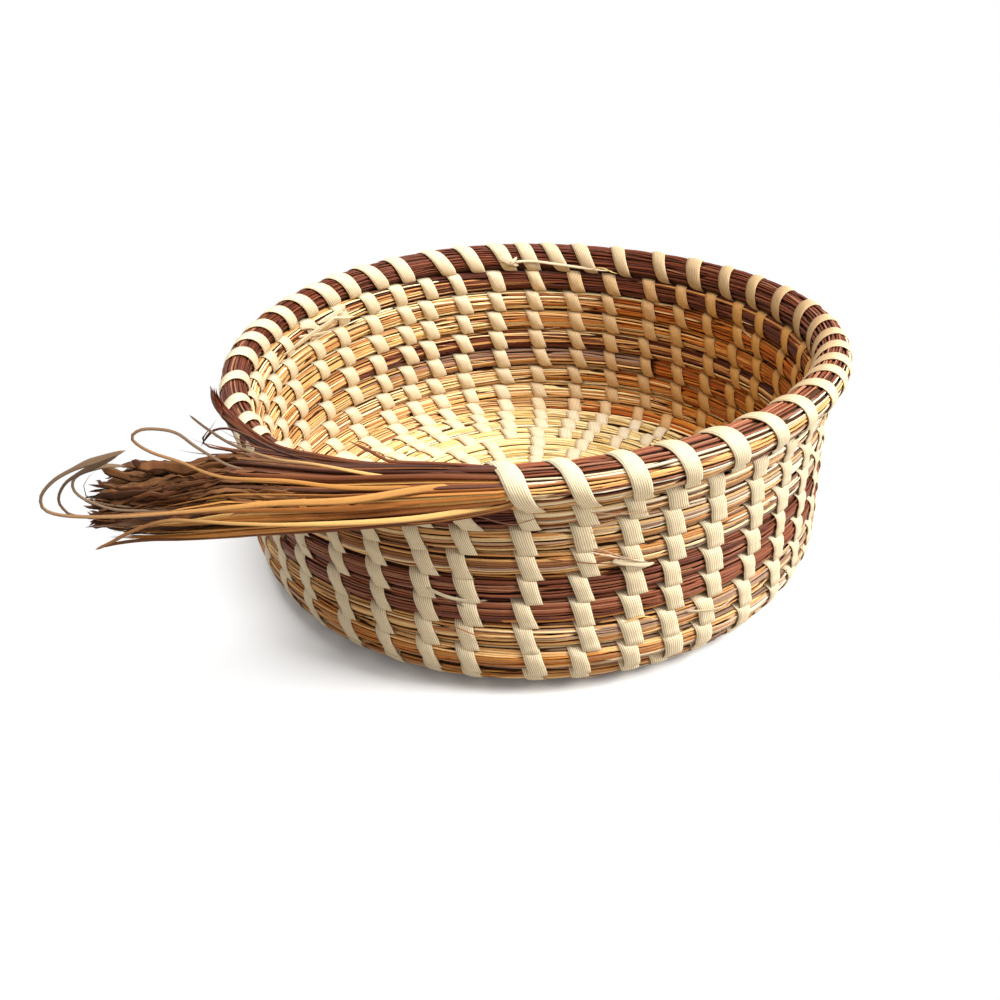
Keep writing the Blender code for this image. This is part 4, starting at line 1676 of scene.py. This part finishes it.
    def single(self, blade: Single, draw: np.random.Generator) -> Strand:
        """One of the blades that stand for solids of their own.

        Args:
            blade: The blade.
            draw: Random numbers.

        Returns:
            It as a strand.
        """
        points = self.measured(blade.points, self.single_points)
        fibres = (blade.fibre, blade.tip)
        strand = self.strand(
            points, blade.half_width, self.single_depth, fibres, draw, 0.0, True
        )
        places = (0, 0.3, 0.6, 0.8, 0.90, 0.94, 0.98, 1)
        shares = (1, 1, 0.62, 0.60, 0.60, 0.58, 0.5, 0.3)
        if blade.node in self.flat_tipped:
            shares = (1, 1, 0.50, 0.46, 0.55, 1.05, 0.65, 0.25)
        taper = np.interp(np.linspace(0, 1, self.single_points), places, shares)
        strand.half_width = blade.half_width * MM * taper
        if blade.slot == "pine_needles":
            strand.half_width = self.blunt(blade.half_width * 0.75, self.single_points)
        return strand

    def build(self, finishes: Finishes) -> None:
        """Makes the dark needles, the broom and the single blades, each in place of its solid.

        Args:
            finishes: The basket's materials.
        """
        draw = np.random.default_rng(self.seed)
        dark = StrandPiece("tail_needle_strands", 5, self.needles(draw))
        dark.place(finishes.needle, "pine_needles", "tail_needles")
        broom = StrandPiece("tail_grass_blades", 6, self.blades(draw) + self.papers(draw))
        broom.place(finishes.blade, "sweetgrass", "tail_grass")
        for blade in SINGLES:
            piece = StrandPiece(blade.node + "_strand", 6, [self.single(blade, draw)])
            finish = finishes.needle if blade.slot == "pine_needles" else finishes.blade
            piece.place(finish, blade.slot, blade.node)


@dataclass(frozen=True)
class Wisp:
    """A loose fibre or torn strip end.

    Each of its points is a turn, an angle in degrees and a height over the stems, in mm.
    """

    points: tuple[tuple[float, float, float], ...]
    half_width: float
    fibre: Fibre | None = None


WISPS = (
    Wisp(((3.018, 62, 0.2), (3.028, 45, 0.9), (3.038, 12, 1.0), (3.047, -24, 0.9),
          (3.052, -38, 0.5)), 0.22, Fibre.MAUVE),
    Wisp(((3.020, 52, 0.2), (3.033, 20, 0.7), (3.043, -8, 0.9), (3.050, -30, 0.6)), 0.16,
          Fibre.SILVER),
    Wisp(((3.006, 30, 0.2), (3.020, 8, 0.6), (3.034, -14, 0.7), (3.045, -34, 0.5)), 0.14,
          Fibre.CHESTNUT),
    Wisp(((3.034, -8, 0.3), (3.043, -26, 0.9), (3.050, -38, 1.3), (3.054, -44, 1.0)), 0.75),
    Wisp(((6.070, 26, 0.3), (6.079, 6, 1.0), (6.089, -6, 1.2), (6.098, 8, 0.7)), 0.62),
    Wisp(((6.040, 34, 0.2), (6.047, 44, 1.0), (6.052, 38, 1.2), (6.055, 22, 0.5)), 0.20,
          Fibre.CREAM),
    Wisp(((3.950, -14, 0.4), (3.960, -34, 1.0), (3.970, -52, 1.1), (3.979, -60, 0.6)), 0.72),
    Wisp(((4.948, 74, 0.3), (4.955, 58, 1.0), (4.963, 40, 0.9), (4.968, 26, 0.3)), 0.24,
          Fibre.CHESTNUT),
    Wisp(((4.958, 50, 0.3), (4.962, 66, 1.2), (4.970, 58, 1.3), (4.976, 40, 0.4)), 0.16,
          Fibre.ORANGE),
    Wisp(((0.955, -24, 0.2), (0.961, 6, 1.2), (0.971, 30, 1.3), (0.984, 24, 0.4)), 0.13,
          Fibre.ASH),
    Wisp(((0.968, 34, 0.2), (0.980, 22, 1.0), (0.992, -8, 0.9), (1.003, 8, 0.3)), 0.14,
          Fibre.SILVER),
    Wisp(((1.024, 14, 0.2), (1.034, -4, 0.8), (1.044, -20, 0.8), (1.052, -34, 0.3)), 0.16,
          Fibre.MAUVE),
    Wisp(((5.950, 46, 0.2), (5.962, 34, 0.9), (5.972, 12, 0.8), (5.981, -6, 0.2)), 0.14,
          Fibre.ORANGE),
    Wisp(((0.513, 186, 0.3), (0.506, 204, 1.5), (0.499, 222, 0.8)), 1.15),
    Wisp(((0.509, 222, 0.3), (0.504, 206, 1.8), (0.500, 188, 0.7)), 0.85),
    Wisp(((0.504, 206, 1.1), (0.490, 204, 0.9), (0.470, 215, 0.9), (0.454, 222, 0.9),
          (0.440, 227, 0.8), (0.431, 229, 0.2)), 0.50),
    Wisp(((0.446, 222, 0.9), (0.438, 214, 1.4), (0.431, 226, 1.3), (0.427, 242, 0.5)), 0.22,
          Fibre.CREAM),
    Wisp(((1.6297, 172, 0.5), (1.645, 186, 1.3), (1.664, 192, 1.4), (1.680, 195, 1.2),
          (1.696, 199, 0.4)), 1.4),
    Wisp(((1.628, 150, 0.5), (1.636, 160, 1.7), (1.646, 166, 1.6), (1.656, 166, 0.5)), 1.1),
    Wisp(((1.671, 138, 0.4), (1.664, 158, 1.4), (1.658, 178, 1.1), (1.653, 194, 0.5)), 1.1),
    Wisp(((2.660, 128, 0.3), (2.648, 104, 1.4), (2.637, 92, 1.3), (2.630, 110, 0.5)), 0.75),
    Wisp(((1.676, 172, 0.3), (1.664, 196, 1.3), (1.652, 216, 1.3), (1.642, 232, 0.7)), 0.60),
    Wisp(((1.650, 160, 0.3), (1.641, 176, 2.0), (1.630, 196, 1.8), (1.622, 214, 0.7)), 0.26,
          Fibre.CREAM),
)


@dataclass
class LooseEnds:
    """Torn ends of the strip and fibres that have sprung out of the coil."""

    shape: CoilShape
    wisps: tuple[Wisp, ...] = WISPS
    hairs: int = 90
    hair_half_width: float = 0.07
    greatest_depth: float = 0.14
    rows: int = 18
    seed: int = 30

    def strand(self, wisp: Wisp, draw: np.random.Generator) -> Strand:
        """One loose end as a strand.

        Args:
            wisp: The loose end.
            draw: Random numbers.

        Returns:
            The strand.
        """
        turns, degrees, heights = np.array(wisp.points).T
        angle = np.radians(degrees)
        reach = self.shape.section(turns, angle, np.zeros_like(turns)) + heights * MM
        points = smooth_path(self.shape.surface(turns, angle, reach), self.rows)
        self.shape.keep_above(points, wisp.half_width * MM + 2 * self.shape.floor_clearance)
        out, _ = self.shape.axes(turns.mean(keepdims=True))
        twist = draw.uniform(-0.5, 0.5)
        facing = out * math.cos(twist) + np.array([0, 0, math.sin(twist)])
        taper = np.interp(np.linspace(0, 1, self.rows), [0, 0.7, 1], [1, 1, 0.35])
        depth = np.full(self.rows, min(wisp.half_width, self.greatest_depth) * MM)
        tone = wisp.fibre.pick(draw) if wisp.fibre else (1, 1, 1)
        normals = np.tile(facing, (self.rows, 1))
        return Strand(points, normals, wisp.half_width * MM * taper, depth, tone)

    def hair(self, draw: np.random.Generator) -> Wisp:
        """A fine fibre that stands off the coil somewhere.

        Args:
            draw: Random numbers.

        Returns:
            The fibre.
        """
        turn, degrees = draw.uniform(1.1, 9.0), draw.choice([0.0, 180.0]) + draw.uniform(-50, 50)
        reach, swing = draw.uniform(0.010, 0.022), draw.uniform(-40, 40)
        points = tuple(
            (turn + reach * share, degrees + swing * share, 0.1 + 1.5 * share**2 * draw.random())
            for share in (0, 0.33, 0.67, 1)
        )
        fibre = (Fibre.GOLDEN, Fibre.CREAM, Fibre.ORANGE)[draw.integers(3)]
        return Wisp(points, self.hair_half_width, fibre)

    def build(self, finishes: Finishes) -> None:
        """Makes the torn strip ends and the fibres.

        Args:
            finishes: The basket's materials.
        """
        draw = np.random.default_rng(self.seed)
        torn, fibres = [], []
        for wisp in self.wisps + tuple(self.hair(draw) for _ in range(self.hairs)):
            (fibres if wisp.fibre else torn).append(self.strand(wisp, draw))
        StrandPiece("torn_strip_ends", 6, torn).place(finishes.strip, "palmetto_strip")
        StrandPiece("loose_fibres", 4, fibres).place(finishes.blade, "sweetgrass")


@dataclass
class Studio:
    """Pale floor, soft lamps and the camera."""

    floor_size: float = 6.0
    floor_drop: float = 0.2 * MM
    white_from: tuple[float, float] = (0.070, 0.145)
    fill_strength: float = 0.42
    camera_place: tuple[float, float, float] = (0.0, -0.3116, 0.1935)
    focal_pixels: float = 1108.75
    frame_pixels: float = 1000.0
    sensor: float = 36.0
    yaw: float = math.radians(-1.762)
    pitch: float = math.radians(22.156 + 8.33)
    roll: float = math.radians(-3.817)

    def build_floor(self) -> None:
        """Lays the floor, which is white to the camera and takes the basket's shadow."""
        bm = bmesh.new()
        bmesh.ops.create_grid(bm, x_segments=1, y_segments=1, size=self.floor_size / 2)
        bmesh.ops.translate(bm, vec=(0, 0, -self.floor_drop), verts=bm.verts)
        recipe = Recipe("pale_floor")
        hidden, seen = (*linear(170, 164, 154), 1), (*linear(252, 252, 251), 1)
        recipe.set(Base_Color=recipe.blend(recipe.to_camera(), hidden, seen), Roughness=0.9)
        settings = {"operation": "LENGTH"}
        distance = recipe.node("ShaderNodeVectorMath", settings, {0: recipe.place()}, "Value")
        white = recipe.node("ShaderNodeEmission", {}, {"Color": (1, 1, 1, 1), "Strength": 1})
        lit = Wire(recipe, recipe.shader.outputs[0])
        share = recipe.to_camera() * recipe.ramp(distance, *self.white_from)
        mixed = recipe.node("ShaderNodeMixShader", {}, {0: share, 1: lit, 2: white})
        recipe.connect(mixed, recipe.tree.nodes["Material Output"].inputs["Surface"])
        finish_mesh("floor", bm, recipe.material)

    def build_world(self) -> None:
        """Lights the scene evenly, and shows white behind it."""
        world = bpy.data.worlds.new("studio")
        bpy.context.scene.world = world
        world.use_nodes = True
        world.node_tree.nodes.clear()
        graph = Graph(world.node_tree)
        fill, white = (
            graph.node("ShaderNodeBackground", {}, {"Color": (1, 1, 1, 1), "Strength": strength})
            for strength in (self.fill_strength, 1)
        )
        mixed = graph.node("ShaderNodeMixShader", {}, {0: graph.to_camera(), 1: fill, 2: white})
        out = world.node_tree.nodes.new("ShaderNodeOutputWorld")
        graph.connect(mixed, out.inputs["Surface"])

    def add_lamp(self, name: str, place: tuple[float, float, float], size: float,
                 power: float) -> None:
        """Adds a square lamp that faces the basket.

        Args:
            name: The lamp's name.
            place: Where it stands.
            size: Length of its side.
            power: Its power, in watts.
        """
        lamp = bpy.data.lights.new(name, "AREA")
        lamp.size = size
        lamp.energy = power
        made = bpy.data.objects.new(name, lamp)
        made.location = place
        aim = Vector((0, 0, 0.04)) - Vector(place)
        made.rotation_euler = aim.to_track_quat("-Z", "Y").to_euler()
        bpy.context.scene.collection.objects.link(made)

    def build_camera(self) -> None:
        """Places the camera where the photograph was taken from."""
        forward = Vector((
            math.sin(self.yaw) * math.cos(self.pitch),
            math.cos(self.yaw) * math.cos(self.pitch),
            -math.sin(self.pitch),
        ))
        level = Vector((math.cos(self.yaw), -math.sin(self.yaw), 0))
        above = level.cross(forward)
        right = math.cos(self.roll) * level + math.sin(self.roll) * above
        up = -math.sin(self.roll) * level + math.cos(self.roll) * above
        data = bpy.data.cameras.new("camera")
        data.sensor_width = self.sensor
        data.lens = self.focal_pixels / self.frame_pixels * self.sensor
        data.clip_start = 0.01
        camera = bpy.data.objects.new("camera", data)
        turned = Matrix((right, up, -forward)).transposed().to_4x4()
        camera.matrix_world = Matrix.Translation(self.camera_place) @ turned
        bpy.context.scene.collection.objects.link(camera)
        bpy.context.scene.camera = camera

    def build(self) -> None:
        """Makes all of it."""
        bpy.context.scene.view_settings.view_transform = "Standard"
        self.build_floor()
        self.build_world()
        self.add_lamp("key", (0.95, -0.34, 0.86), 0.6, 23)
        self.add_lamp("top", (0.10, -0.25, 1.4), 0.8, 21)
        self.build_camera()


def main() -> None:
    """Builds the basket and the studio."""
    logging.basicConfig(level=logging.INFO, format="%(name)s: %(message)s")
    finishes = Finishes.make()
    shape = CoilShape()
    stitches = StitchPlan().turns(shape)
    bundle = Bundle(shape, stitches)
    bundle.build(finishes)
    Binding(shape, stitches).build(finishes, bundle.stretches())
    StartKnot(shape).build(finishes)
    Tail(shape).build(finishes)
    LooseEnds(shape).build(finishes)
    Studio().build()


if __name__ == "__main__":
    main()
